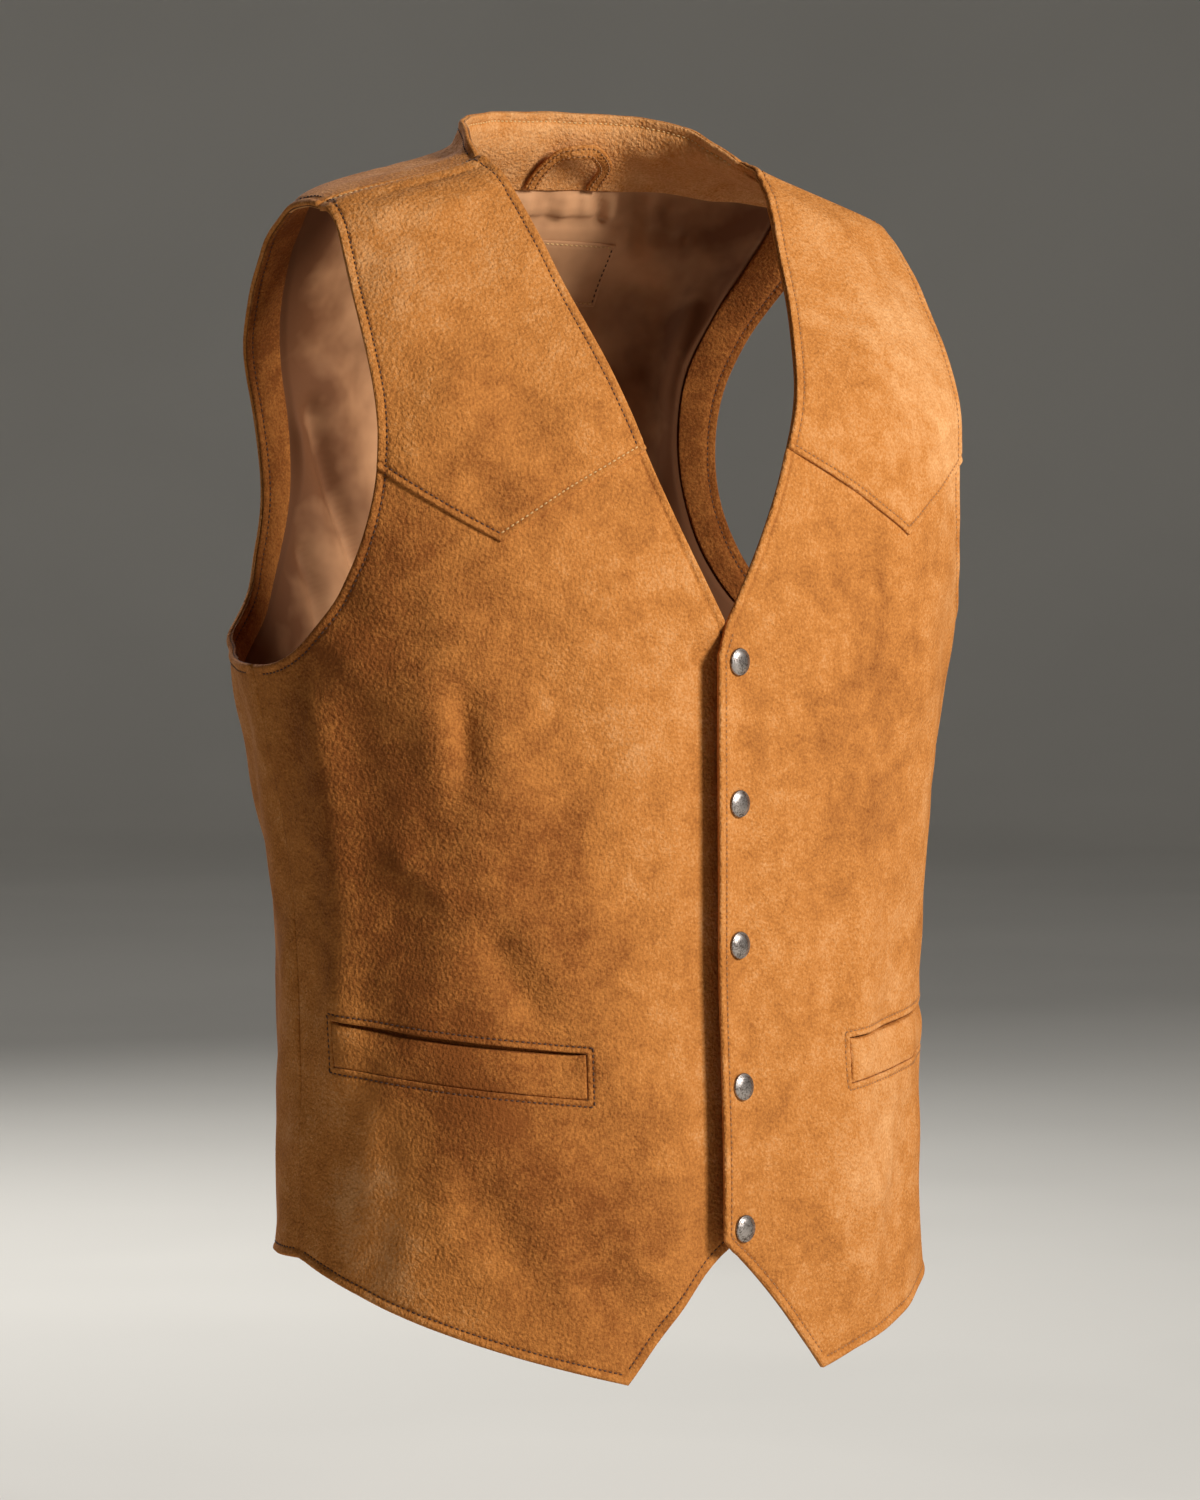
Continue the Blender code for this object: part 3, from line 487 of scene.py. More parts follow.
def unevenness(angle, level):
    """Slight waves over the whole cloth: a sum of sines, calm at the centre front."""
    total = np.zeros(np.broadcast(angle, level).shape)
    for round_length, up_length, phase, height in WAVES:
        turns = angle * FOLD_GIRTH_RADIUS / round_length + level / up_length + phase
        total += height * np.sin(2 * math.pi * turns)
    return total * smooth_step(*WAVE_CALM_DEGREES, np.degrees(np.abs(angle)))


def surface(angle, level):
    """The body with its folds, creases and unevenness raised along its normal."""
    angle, level = np.broadcast_arrays(np.asarray(angle, float), np.asarray(level, float))
    height = strokes(FOLDS + CREASES, angle, level) + unevenness(angle, level)
    return body_point(angle, level) + height[..., None] * outward(body_point, angle, level)


def lay_out(places):
    """Places with their points on the surface and the surface's normals there."""
    angle, level = places[..., 0], places[..., 1]
    return Cloth(places, surface(angle, level), outward(surface, angle, level))


def raised(cloth, lift):
    """Points of a cloth moved out along the normals."""
    return cloth.points + np.asarray(lift)[..., None] * cloth.normals


def angle_at(x, level):
    """The angle of the front surface at a distance x from the centre plane."""
    share = np.clip(np.abs(x) / section("half_width", level), 0, 1)
    return np.sign(x) * np.arcsin(share ** (SECTION_POWER / 2))


def neckline_x(level):
    """The V neckline's distance from the centre plane: a line down from the neck point, bowed outwards."""
    depth = (NECK_HALF_WIDTH + OVERLAP) / NECKLINE_RUN
    bow = NECKLINE_BOW * np.sin(math.pi * np.clip(-level / depth, 0, 1))
    return NECK_HALF_WIDTH + NECKLINE_RUN * level + bow


def armhole_edge(swing, shape, side):
    """Places on the armhole at swings from 0, the underarm, to 1, the tip; side is -1 in front, +1 behind."""
    scoop, lean, roundness = shape
    rise = ((1 - np.cos(math.pi * swing)) / 2) ** ARMHOLE_ROW_GRADING
    level = UNDERARM_LEVEL + (SHOULDER_TIP_LEVEL - UNDERARM_LEVEL) * rise
    offset = math.radians(scoop) * np.maximum(np.sin(math.pi * rise**lean), 0) ** roundness
    return np.stack([math.pi / 2 + side * offset, level], axis=-1)


def swing_at(level):
    """The armhole swing that has a given level."""
    rise = (level - UNDERARM_LEVEL) / (SHOULDER_TIP_LEVEL - UNDERARM_LEVEL)
    return math.acos(1 - 2 * rise ** (1 / ARMHOLE_ROW_GRADING)) / math.pi


def graded(run, fine_start, fine_end, sizes, growth=1.0):
    """Shares from 0 to 1 along a run: cells grow from fine at the marked ends to coarse between them."""
    along = np.linspace(0, run, GRADING_STEPS)
    away = np.full_like(along, run)
    if fine_start:
        away = np.minimum(away, along)
    if fine_end:
        away = np.minimum(away, run - along)
    coarse = growth * sizes.coarse
    cell = sizes.fine + (coarse - sizes.fine) * smooth_step(FINE_BAND / 2, 3 * FINE_BAND, away)
    count = np.concatenate(([0], np.cumsum(np.diff(along) * (1 / cell[1:] + 1 / cell[:-1]) / 2)))
    total = max(int(round(count[-1])), 1)
    return np.interp(np.linspace(0, count[-1], total + 1), count, along) / run


def graded_stops(stops, girth, sizes, growth=1.0):
    """Shares from 0 to 1 with a grid line on each stop: its share and whether cells there are fine."""
    shares = [np.zeros(1)]
    for (start, fine_start), (end, fine_end) in zip(stops, stops[1:]):
        part = graded((end - start) * girth, fine_start, fine_end, sizes, growth)
        shares.append(start + (end - start) * part[1:])
    return np.concatenate(shares)


def coons_rows(lower, upper, left, right, columns, rise):
    """Rows of places between two guide rows and two edges: a Coons patch, without its first row."""
    across = columns[None, :, None]
    height = rise[:, None, None]
    rows = (1 - height) * lower + height * upper
    ends = (1 - across) * (left[:, None] - rows[:, :1]) + across * (right[:, None] - rows[:, -1:])
    return (rows + ends)[1:]


def underarm_dip(columns):
    """The sag of the row through the underarm, a parabola, so that cells fan out from that corner."""
    return UNDERARM_ROW_DIP * 4 * columns * (1 - columns)


def yoke_end_angles():
    """The angles where the yoke's lower edge meets the neckline and the armhole."""
    inner = angle_at(neckline_x(YOKE_INNER_LEVEL), YOKE_INNER_LEVEL)
    outer = armhole_edge(np.array(swing_at(YOKE_OUTER_LEVEL)), FRONT_ARMHOLE, -1)[0]
    return inner, outer


def front_stops(extension):
    """The shares of a front's width, from its front edge to the side seam, where its details stand."""
    side = math.pi / 2 - SEAM_ANGLE
    yoke_inner, yoke_outer = yoke_end_angles()

    def share_of(angle, level):
        inner = angle_at(-extension, level)
        return float((angle - inner) / (side - inner))

    return {
        "hem_point": share_of(angle_at(HEM_POINT_X, HEM_POINT_LEVEL), HEM_POINT_LEVEL),
        "pocket_inner": share_of(angle_at(POCKET_INNER_X, POCKET_INNER_LEVEL), POCKET_INNER_LEVEL),
        "yoke_point": (angle_at(YOKE_POINT_X, YOKE_POINT_LEVEL) - yoke_inner) / (yoke_outer - yoke_inner),
        "pocket_outer": share_of(math.radians(POCKET_OUTER_DEGREES), POCKET_OUTER_LEVEL),
    }


def front_guides(extension, columns):
    """The front's guide rows by name, each an array of places from the front edge to the outer edge."""
    hem_front = HEM_POINT_LEVEL + HEM_FRONT_RISE * (HEM_POINT_X + extension)
    break_level = -(NECK_HALF_WIDTH + extension) / NECKLINE_RUN
    side = math.pi / 2 - SEAM_ANGLE
    stop = front_stops(extension)
    pocket_bottom = (POCKET_INNER_LEVEL - POCKET_HEIGHT, POCKET_OUTER_LEVEL - POCKET_HEIGHT)
    pocket_stops = (0, stop["pocket_inner"], stop["pocket_outer"], 1)
    level_stops = {
        "hem": ((0, stop["hem_point"], 1), (hem_front, HEM_POINT_LEVEL, HEM_SIDE_LEVEL)),
        "pocket_bottom": (pocket_stops, np.repeat(pocket_bottom, 2)),
        "pocket_top": (pocket_stops, np.repeat((POCKET_INNER_LEVEL, POCKET_OUTER_LEVEL), 2)),
        "chest": ((0, 1), (break_level, UNDERARM_LEVEL)),
    }
    guides = {}
    for name, (stops, levels) in level_stops.items():
        level = np.interp(columns, stops, levels)
        inner = angle_at(-extension, level[0])
        guides[name] = np.stack([inner + columns * (side - inner), level], axis=-1)
    guides["chest"][:, 1] -= underarm_dip(columns)
    yoke_levels = (YOKE_INNER_LEVEL, YOKE_POINT_LEVEL, YOKE_OUTER_LEVEL)
    yoke_level = np.interp(columns, (0, stop["yoke_point"], 1), yoke_levels)
    inner, outer = yoke_end_angles()
    guides["yoke"] = np.stack([inner + columns * (outer - inner), yoke_level], axis=-1)
    guides["shoulder"] = np.stack([np.full_like(columns, side), columns * SHOULDER_TIP_LEVEL], axis=-1)
    return guides


def front_sides(guides, lower, upper, rise):
    """The front edge and the outer edge between two guide rows, as places row by row."""
    inner_from, inner_to = guides[lower][0], guides[upper][0]
    outer_from, outer_to = guides[lower][-1], guides[upper][-1]
    if upper == "shoulder":
        level = inner_from[1] * (1 - rise) ** 2
        left = np.stack([np.minimum(angle_at(neckline_x(level), level), inner_to[0]), level], axis=-1)
    elif upper == "yoke":
        level = inner_from[1] + (inner_to[1] - inner_from[1]) * rise
        left = np.stack([angle_at(neckline_x(level), level), level], axis=-1)
    else:
        left = inner_from + (inner_to - inner_from) * rise[:, None]
    if upper in ("yoke", "shoulder"):
        yoke_swing = swing_at(YOKE_OUTER_LEVEL)
        start, end = (0.0, yoke_swing) if upper == "yoke" else (yoke_swing, 1.0)
        right = armhole_edge(start + (end - start) * rise, FRONT_ARMHOLE, -1)
    else:
        right = outer_from + (outer_to - outer_from) * rise[:, None]
    return left, right


def front_grid(side, sizes):
    """A front's cloth, the row of each guide and the columns of its details, from Coons patches."""
    extension = OVERLAP if side > 0 else UNDERLAP
    stop = front_stops(extension)
    fine = {"pocket_inner", "pocket_outer"}
    marks = [(0.0, True), *((share, name in fine) for name, share in stop.items()), (1.0, True)]
    columns = graded_stops(marks, FRONT_GIRTH, sizes)
    guides = front_guides(extension, columns)
    rows, row, lower = [guides["hem"][None]], {"hem": 0}, "hem"
    for upper, height, fine_foot, fine_top in FRONT_BANDS:
        rise = graded(height, fine_foot, fine_top, sizes)
        left, right = front_sides(guides, lower, upper, rise)
        rows.append(coons_rows(guides[lower], guides[upper], left, right, columns, rise))
        row[upper] = row[lower] + len(rise) - 1
        lower = upper
    column = {name: int(np.argmin(np.abs(columns - share))) for name, share in stop.items()}
    return lay_out(np.concatenate(rows) * (side, 1)), row, column


def back_grid(sizes, growth, fine):
    """The back's cloth from side seam to side seam, the row of each guide and its half's column shares.

    Growth is how much wider than usual its cells are, and fine is whether they are small along its edges."""
    marks = [(0.0, False), (NECK_CORNER_SHARE, False), (FACING_SHARE, fine), (1.0, fine)]
    columns = graded_stops(marks, BACK_HALF_GIRTH, sizes, growth["columns"])
    side = math.pi / 2 + SEAM_ANGLE
    facing_swing = swing_at(FACING_OUTER_LEVEL)
    outer = {
        "hem": (side, HEM_SIDE_LEVEL),
        "underarm": (side, UNDERARM_LEVEL),
        "facing": armhole_edge(np.array(facing_swing), BACK_ARMHOLE, 1),
    }
    guides = {
        name: np.stack([math.pi + columns * (place[0] - math.pi), np.full_like(columns, place[1])], axis=-1)
        for name, place in outer.items()
    }
    guides["underarm"][:, 1] -= underarm_dip(columns)
    facing_rise = FACING_CENTRE_LEVEL - FACING_OUTER_LEVEL + FACING_SIDE_RISE * columns**FACING_RISE_POWER
    guides["facing"][:, 1] += facing_rise * (1 - columns**FACING_ROW_POWER)
    to_corner = np.clip(columns / NECK_CORNER_SHARE, 0, 1)
    past_corner = np.clip((columns - NECK_CORNER_SHARE) / (1 - NECK_CORNER_SHARE), 0, 1)
    top_level = SHOULDER_TIP_LEVEL * past_corner + BACK_NECK_RISE * (1 - to_corner**NECK_EDGE_POWER)
    guides["top"] = np.stack([math.pi + to_corner * (side - math.pi), top_level], axis=-1)
    swings = {"facing": (0.0, facing_swing), "top": (facing_swing, 1.0)}
    rows, row, lower = [guides["hem"][None]], {"hem": 0}, "hem"
    for upper, height, fine_foot, fine_top in BACK_BANDS:
        rise = graded(height, fine_foot and fine, fine_top and fine, sizes, growth[upper])
        left = guides[lower][0] + (guides[upper][0] - guides[lower][0]) * rise[:, None]
        right = guides[lower][-1] + (guides[upper][-1] - guides[lower][-1]) * rise[:, None]
        if upper in swings:
            start, end = swings[upper]
            right = armhole_edge(start + (end - start) * rise, BACK_ARMHOLE, 1)
        rows.append(coons_rows(guides[lower], guides[upper], left, right, columns, rise))
        row[upper] = row[lower] + len(rise) - 1
        lower = upper
    half = np.concatenate(rows)
    mirrored = half[:, :0:-1] * (-1, 1) + (2 * math.pi, 0)
    return lay_out(np.concatenate([mirrored, half], axis=1)), row, columns


def distance_to(points, *lines):
    """The distance from every point to the nearest point of some lines, drawn denser than given."""
    dense = []
    for line in lines:
        at = np.linspace(0, len(line) - 1, LINE_DENSITY * len(line))
        dense.append(np.stack([np.interp(at, np.arange(len(line)), line[:, k]) for k in range(3)], axis=-1))
    dense = np.concatenate(dense)
    flat = points.reshape(-1, 3)
    nearest = []
    for start in range(0, len(flat), DISTANCE_BLOCK):
        block = flat[start : start + DISTANCE_BLOCK]
        square = (block**2).sum(1)[:, None] + (dense**2).sum(1) - 2 * block @ dense.T
        nearest.append(np.sqrt(np.maximum(square.min(1), 0)))
    return np.concatenate(nearest).reshape(points.shape[:-1])


def quarter_round(distance, radius):
    """A quarter circle: 0 at the edge, 1 from one radius inwards."""
    t = np.clip(1 - distance / radius, 0, 1)
    return np.sqrt(1 - t * t)


def stitch_line(distance, inset):
    """1 along a row of stitches, fading as a bell to both sides."""
    return np.exp(-(((distance - inset) / GROOVE_WIDTH) ** 2))


def groove(distance, inset):
    """The dent that a row of stitches pulls into the cloth."""
    return GROOVE_DEPTH * stitch_line(distance, inset)


def seam_dip(side, shoulder):
    """How far cloth rolls in at the seams: one less a quarter circle, from the distances to both seams."""
    at_side = SIDE_DIP * (1 - quarter_round(side, SEAM_ROLL))
    return at_side + SHOULDER_DIP * (1 - quarter_round(shoulder, SEAM_ROLL))


def turned_band(distance, inset):
    """1 on the turned edge, 0 past its row of stitches."""
    return 1 - smooth_step(inset - EDGE_STEP, inset, distance)


def mesh_object(name, points, quads, material, nap=None):
    """An object of its own from an array of points and an array of four-cornered faces, shaded smooth."""
    mesh = bpy.data.meshes.new(name)
    mesh.vertices.add(len(points))
    mesh.vertices.foreach_set("co", np.ascontiguousarray(points, np.float32).ravel())
    mesh.loops.add(quads.size)
    mesh.loops.foreach_set("vertex_index", np.ascontiguousarray(quads, np.int32).ravel())
    mesh.polygons.add(len(quads))
    mesh.polygons.foreach_set("loop_start", np.arange(0, quads.size, 4, dtype=np.int32))
    mesh.polygons.foreach_set("use_smooth", np.ones(len(quads), bool))
    if nap is not None:
        tone = mesh.attributes.new("nap", "FLOAT", "POINT")
        tone.data.foreach_set("value", np.ascontiguousarray(nap, np.float32).ravel())
    mesh.update(calc_edges=True)
    if mesh.validate():
        raise RuntimeError(f"{name} has faces that can't be used")
    mesh.materials.append(material)
    piece = bpy.data.objects.new(name, mesh)
    bpy.context.scene.collection.objects.link(piece)
    return piece


def shell(name, outer, inner, material, nap=None, keep=None):
    """A closed shell between two grids of points, joined by a rim round every edge.

    Keep marks the cells that stay."""
    rows, columns = outer.shape[:2]
    if keep is None:
        keep = np.ones((rows - 1, columns - 1), bool)
    index = np.arange(rows * columns).reshape(rows, columns)
    corners = np.stack([index[:-1, :-1], index[:-1, 1:], index[1:, 1:], index[1:, :-1]], axis=-1)
    wide = np.pad(keep, 1)
    beyond = (wide[:-2, 1:-1], wide[1:-1, 2:], wide[2:, 1:-1], wide[1:-1, :-2])
    below = rows * columns
    faces = [corners[keep], corners[keep][:, ::-1] + below]
    for k, neighbour in enumerate(beyond):
        edge = keep & ~neighbour
        start, end = corners[edge][:, k], corners[edge][:, (k + 1) % 4]
        faces.append(np.stack([end, start, start + below, end + below], axis=-1))
    faces = np.concatenate(faces)
    across, up = np.diff(outer, axis=1)[:-1], np.diff(outer, axis=0)[:, :-1]
    if np.sum(np.cross(across, up) * (outer - inner)[:-1, :-1]) < 0:
        faces = faces[:, ::-1]
    used, faces = np.unique(faces, return_inverse=True)
    points = np.concatenate([outer.reshape(-1, 3), inner.reshape(-1, 3)])[used]
    tone = None if nap is None else np.concatenate([nap.ravel(), nap.ravel()])[used]
    return mesh_object(name, points, faces.reshape(-1, 4), material, tone)


def nap_and_painted_light_of(cloth):
    """How light or dark the suede is at each place: partly brushed, partly painted light and shade."""
    return strokes(NAP_AND_PAINTED_LIGHT_STROKES, cloth.places[..., 0], cloth.places[..., 1])


def sewn_piece(piece, nodes=()):
    """Lets a piece move with the vest and stand for its solids."""
    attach(piece, "root")
    if nodes:
        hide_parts(*nodes)
    return piece


def inset_line(line, inside, inset):
    """Places of a line beside an edge, inset from it over the surface towards a place inside the panel.

    The step is square to the edge in the surface, turned into angle and level by the surface's slopes."""
    angle, level = line[:, 0], line[:, 1]
    around, up = slopes(surface, angle, level)
    along = np.gradient(surface(angle, level), axis=0)
    step = unit(np.cross(np.cross(around, up), along))
    towards = surface(*np.asarray(inside, float)) - surface(angle, level)
    step *= np.sign(np.sum(step * towards))
    aa, au, uu = ((a * b).sum(-1) for a, b in ((around, around), (around, up), (up, up)))
    sa, su = ((step * a).sum(-1) for a in (around, up))
    whole = aa * uu - au * au
    move = np.stack([(sa * uu - su * au) / whole, (su * aa - sa * au) / whole], axis=-1)
    return line + inset * move


def clear_of(line, edges, inset):
    """The longest stretch of an inset line that keeps its distance from all of a panel's edges."""
    kept = distance_to(surface(line[:, 0], line[:, 1]), *edges) > EDGE_ABOVE * inset
    stretches = np.split(np.arange(len(line)), np.flatnonzero(np.diff(kept)) + 1)
    return line[max((stretch for stretch in stretches if kept[stretch[0]]), key=len)]


def thread_rings(middle, normal, sizes):
    """Rings round short threads: each is thick in its middle and dips into the cloth at its ends.

    The middles have the axes stitch, station and coordinate; the rings get sides as their third axis."""
    along = unit(np.gradient(middle, axis=1))
    sideways = np.cross(normal, along)
    radius = sizes.thread / 2 * np.array(STITCH_SWELL)
    middle = middle + sizes.thread * np.array(STITCH_SINK)[None, :, None] * normal
    turn = np.arange(STITCH_SIDES) * 2 * math.pi / STITCH_SIDES
    ring = np.cos(turn)[:, None] * sideways[:, :, None] + np.sin(turn)[:, None] * normal[:, :, None]
    return middle[:, :, None] + radius[None, :, None, None] * ring


def stitch_runs(points, sizes):
    """Where the stations of evenly spaced stitches lie along a line of points, with the run at each point."""
    run = np.concatenate(([0], np.cumsum(np.linalg.norm(np.diff(points, axis=0), axis=-1))))
    count = max(int(run[-1] / sizes.pitch), 1)
    centre = (np.arange(count) + 0.5) * run[-1] / count
    return run, centre[:, None] + np.array(STITCH_STATIONS) * sizes.stitch / 2


def stitch_points(line, lift_at, sizes, inwards=False):
    """Rings of points for a row of stitches along a line of places, lifted onto the cloth's face."""
    run, at = stitch_runs(surface(line[:, 0], line[:, 1]), sizes)
    cloth = lay_out(np.stack([np.interp(at, run, line[:, 0]), np.interp(at, run, line[:, 1])], axis=-1))
    normal = -cloth.normals if inwards else cloth.normals
    return thread_rings(raised(cloth, lift_at(cloth)), normal, sizes)


def tubes(name, rings, material, nap=None):
    """One piece of closed, capped tubes from rings with the axes tube, station, side and coordinate."""
    count, stations, sides = rings.shape[:3]
    index = np.arange(rings[..., 0].size).reshape(count, stations, sides)
    turned = np.roll(index, -1, axis=2)
    walls = np.stack([index[:, :-1], turned[:, :-1], turned[:, 1:], index[:, 1:]], axis=-1).reshape(-1, 4)
    near = np.arange(sides // 2 - 1)
    across = np.stack([near, near + 1, sides - 2 - near, sides - 1 - near], axis=-1)
    foot, head = index[:, 0][:, across[:, ::-1]].reshape(-1, 4), index[:, -1][:, across].reshape(-1, 4)
    quads = np.concatenate([walls, foot, head])
    turning = np.cross(rings[0, 2, 1] - rings[0, 2, 0], rings[0, 2, 2] - rings[0, 2, 1])
    if turning @ (rings[0, -1].mean(0) - rings[0, 0].mean(0)) < 0:
        quads = quads[:, ::-1]
    return mesh_object(name, rings.reshape(-1, 3), quads, material, nap)


def stitches(name, runs, material):
    """One piece of all the stitches in some rows."""
    return sewn_piece(tubes(name, np.concatenate(runs), material))


def lap_lift(cloth, side):
    """How far a front stands out or in near the centre, so that the left front lies on the right one."""
    x = side * cloth.points[..., 0]
    return side * LAP_LIFT * (1 - smooth_step(*LAP_FADE, x))


class Front:
    """One front: its grid, its edges as lines of points, and the offsets of its faces at any place."""

    def __init__(self, side, sizes):
        self.side, self.sizes = side, sizes
        self.hand = "left" if side > 0 else "right"
        self.cloth, self.row, self.column = front_grid(side, sizes)
        points, row = self.cloth.points, self.row
        self.window = (
            slice(row["pocket_bottom"], row["pocket_top"] + 1),
            slice(self.column["pocket_inner"], self.column["pocket_outer"] + 1),
        )
        pocket = points[self.window]
        self.pocket_lines = (pocket[0], pocket[-1], pocket[:, 0], pocket[:, -1])
        self.free_lines = (points[:, 0], points[0], points[row["chest"] :, -1])
        self.seam_lines = (points[: row["chest"] + 1, -1],)
        self.shoulder_line = points[-1]
        self.lap_line = points[: row["chest"] + 1, 0]
        self.yoke_line = points[row["yoke"]]
        yoke = self.cloth.places[row["yoke"]]
        order = np.argsort(side * yoke[:, 0])
        self.yoke_levels = (side * yoke[order, 0], yoke[order, 1])

    def common_lift(self, cloth):
        """What moves a front and all that is sewn on it: the lap, its lifted edge and the shoulder's sink."""
        lift = lap_lift(cloth, self.side)
        if self.side > 0:
            from_edge = distance_to(cloth.points, self.lap_line)
            lift = lift + LAP_CURL * (1 - smooth_step(0, LAP_CURL_WIDTH, from_edge)) ** 2
        else:
            below = 1 - smooth_step(*UNDERLAP_SINK_LEVELS, cloth.places[..., 1])
            lift = lift - UNDERLAP_SINK * smooth_step(*UNDERLAP_SINK_ACROSS, cloth.points[..., 0]) * below
        from_shoulder = distance_to(cloth.points, self.shoulder_line)
        return lift - SHOULDER_SINK * (1 - smooth_step(0, SHOULDER_SINK_WIDTH, from_shoulder))

    def offsets(self, cloth):
        """The front's outer and inner offsets: a rounded turned edge up to the row of stitches, a valley at
        the seams, and a lip round the pocket's window."""
        sizes = self.sizes
        free = distance_to(cloth.points, *self.free_lines)
        side = distance_to(cloth.points, *self.seam_lines)
        shoulder = distance_to(cloth.points, self.shoulder_line)
        pocket = distance_to(cloth.points, *self.pocket_lines)
        angle, level = self.side * cloth.places[..., 0], cloth.places[..., 1]
        above_yoke = level - np.interp(angle, *self.yoke_levels)
        bare = 1 - smooth_step(-YOKE_COVER, 0.0, above_yoke)
        half = FRONT_HALF + (sizes.rim - FRONT_HALF) * turned_band(free, sizes.inset) * bare
        half = half * quarter_round(free, FRONT_HALF + (sizes.rim - FRONT_HALF) * bare)
        half = half - groove(free, sizes.inset) * bare
        lip = POCKET_LIP * turned_band(pocket, sizes.pocket_inset)
        outer = (half + lip) * quarter_round(pocket, POCKET_ROLL) - groove(pocket, sizes.pocket_inset)
        outer = outer - seam_dip(side, shoulder)
        inner = -half * quarter_round(pocket, POCKET_ROLL)
        return outer, np.minimum(inner, outer - THINNEST)

    def outer_lift(self, cloth):
        return self.offsets(cloth)[0] + self.common_lift(cloth)

    def nap(self, cloth):
        """The front's brushed tone and painted light, with painted shade along its rows of stitches and its
        side seams.
        """
        free = distance_to(cloth.points, *self.free_lines)
        pocket = distance_to(cloth.points, *self.pocket_lines)
        rows = np.maximum(stitch_line(free, self.sizes.inset), stitch_line(pocket, self.sizes.pocket_inset))
        seam = stitch_line(distance_to(cloth.points, *self.seam_lines), 0)
        return nap_and_painted_light_of(cloth) + GROOVE_PAINTED_SHADE * rows + SEAM_PAINTED_SHADE * seam

    def yoke_tone_and_painted_light(self, cloth):
        """The yoke's brushed tone and painted light, lighter than the front's, with painted shade along its
        rows of stitches.
        """
        free = distance_to(cloth.points, *self.free_lines)
        lower = distance_to(cloth.points, self.yoke_line)
        rows = np.maximum(stitch_line(free, self.sizes.inset), stitch_line(lower, self.sizes.yoke_inset))
        return nap_and_painted_light_of(cloth) + YOKE_TONE + GROOVE_PAINTED_SHADE * rows

    def yoke_offsets(self, cloth):
        """The yoke's offsets: a turned lower edge, round neck and armhole edges, and a shoulder seam."""
        sizes = self.sizes
        free = distance_to(cloth.points, *self.free_lines)
        lower = distance_to(cloth.points, self.yoke_line)
        shoulder = distance_to(cloth.points, self.shoulder_line)
        inner = np.full_like(free, YOKE_LAYER[0])
        rise = YOKE_LAYER[1] - YOKE_LAYER[0] + YOKE_TURN * turned_band(lower, sizes.yoke_inset)
        rise = rise + YOKE_TURN * turned_band(free, sizes.inset)
        rise = rise * quarter_round(lower, YOKE_ROLL) * quarter_round(free, YOKE_ROLL)
        rise = rise - groove(lower, sizes.yoke_inset) - groove(free, sizes.inset)
        rise = rise - SHOULDER_DIP * (1 - quarter_round(shoulder, SEAM_ROLL))
        return inner + np.maximum(rise, THINNEST), inner

    def yoke_lift(self, cloth):
        return self.yoke_offsets(cloth)[0] + self.common_lift(cloth)


def add(tree, kind, settings=None, inputs=None):
    """Adds a node, sets its own settings, and gives each input a value or a link."""
    node = tree.nodes.new(kind)
    for name, value in (settings or {}).items():
        setattr(node, name, value)
    for name, value in (inputs or {}).items():
        if isinstance(value, bpy.types.NodeSocket):
            tree.links.new(value, node.inputs[name])
        else:
            node.inputs[name].default_value = value
    return node


def new_material(name, **sockets):
    """A material with a Principled shader whose even values are set on its own sockets."""
    material = bpy.data.materials.new(name)
    material.use_nodes = True
    shader = material.node_tree.nodes["Principled BSDF"]
    for socket, value in sockets.items():
        shader.inputs[socket.replace("_", " ")].default_value = value
    return material, material.node_tree, shader


def per_metre(millimetres):
    """The scale of a noise whose cells have a size in millimetres, on coordinates in metres."""
    return 1000 / millimetres


def spread(tree, factor, stops):
    """A colour ramp from stops of position and colour."""
    ramp = add(tree, "ShaderNodeValToRGB", None, {"Fac": factor})
    elements = ramp.color_ramp.elements
    while len(elements) < len(stops):
        elements.new(0.5)
    for element, (position, tint) in zip(elements, stops):
        element.position = position
        element.color = (*tint, 1.0)
    return ramp.outputs["Color"]


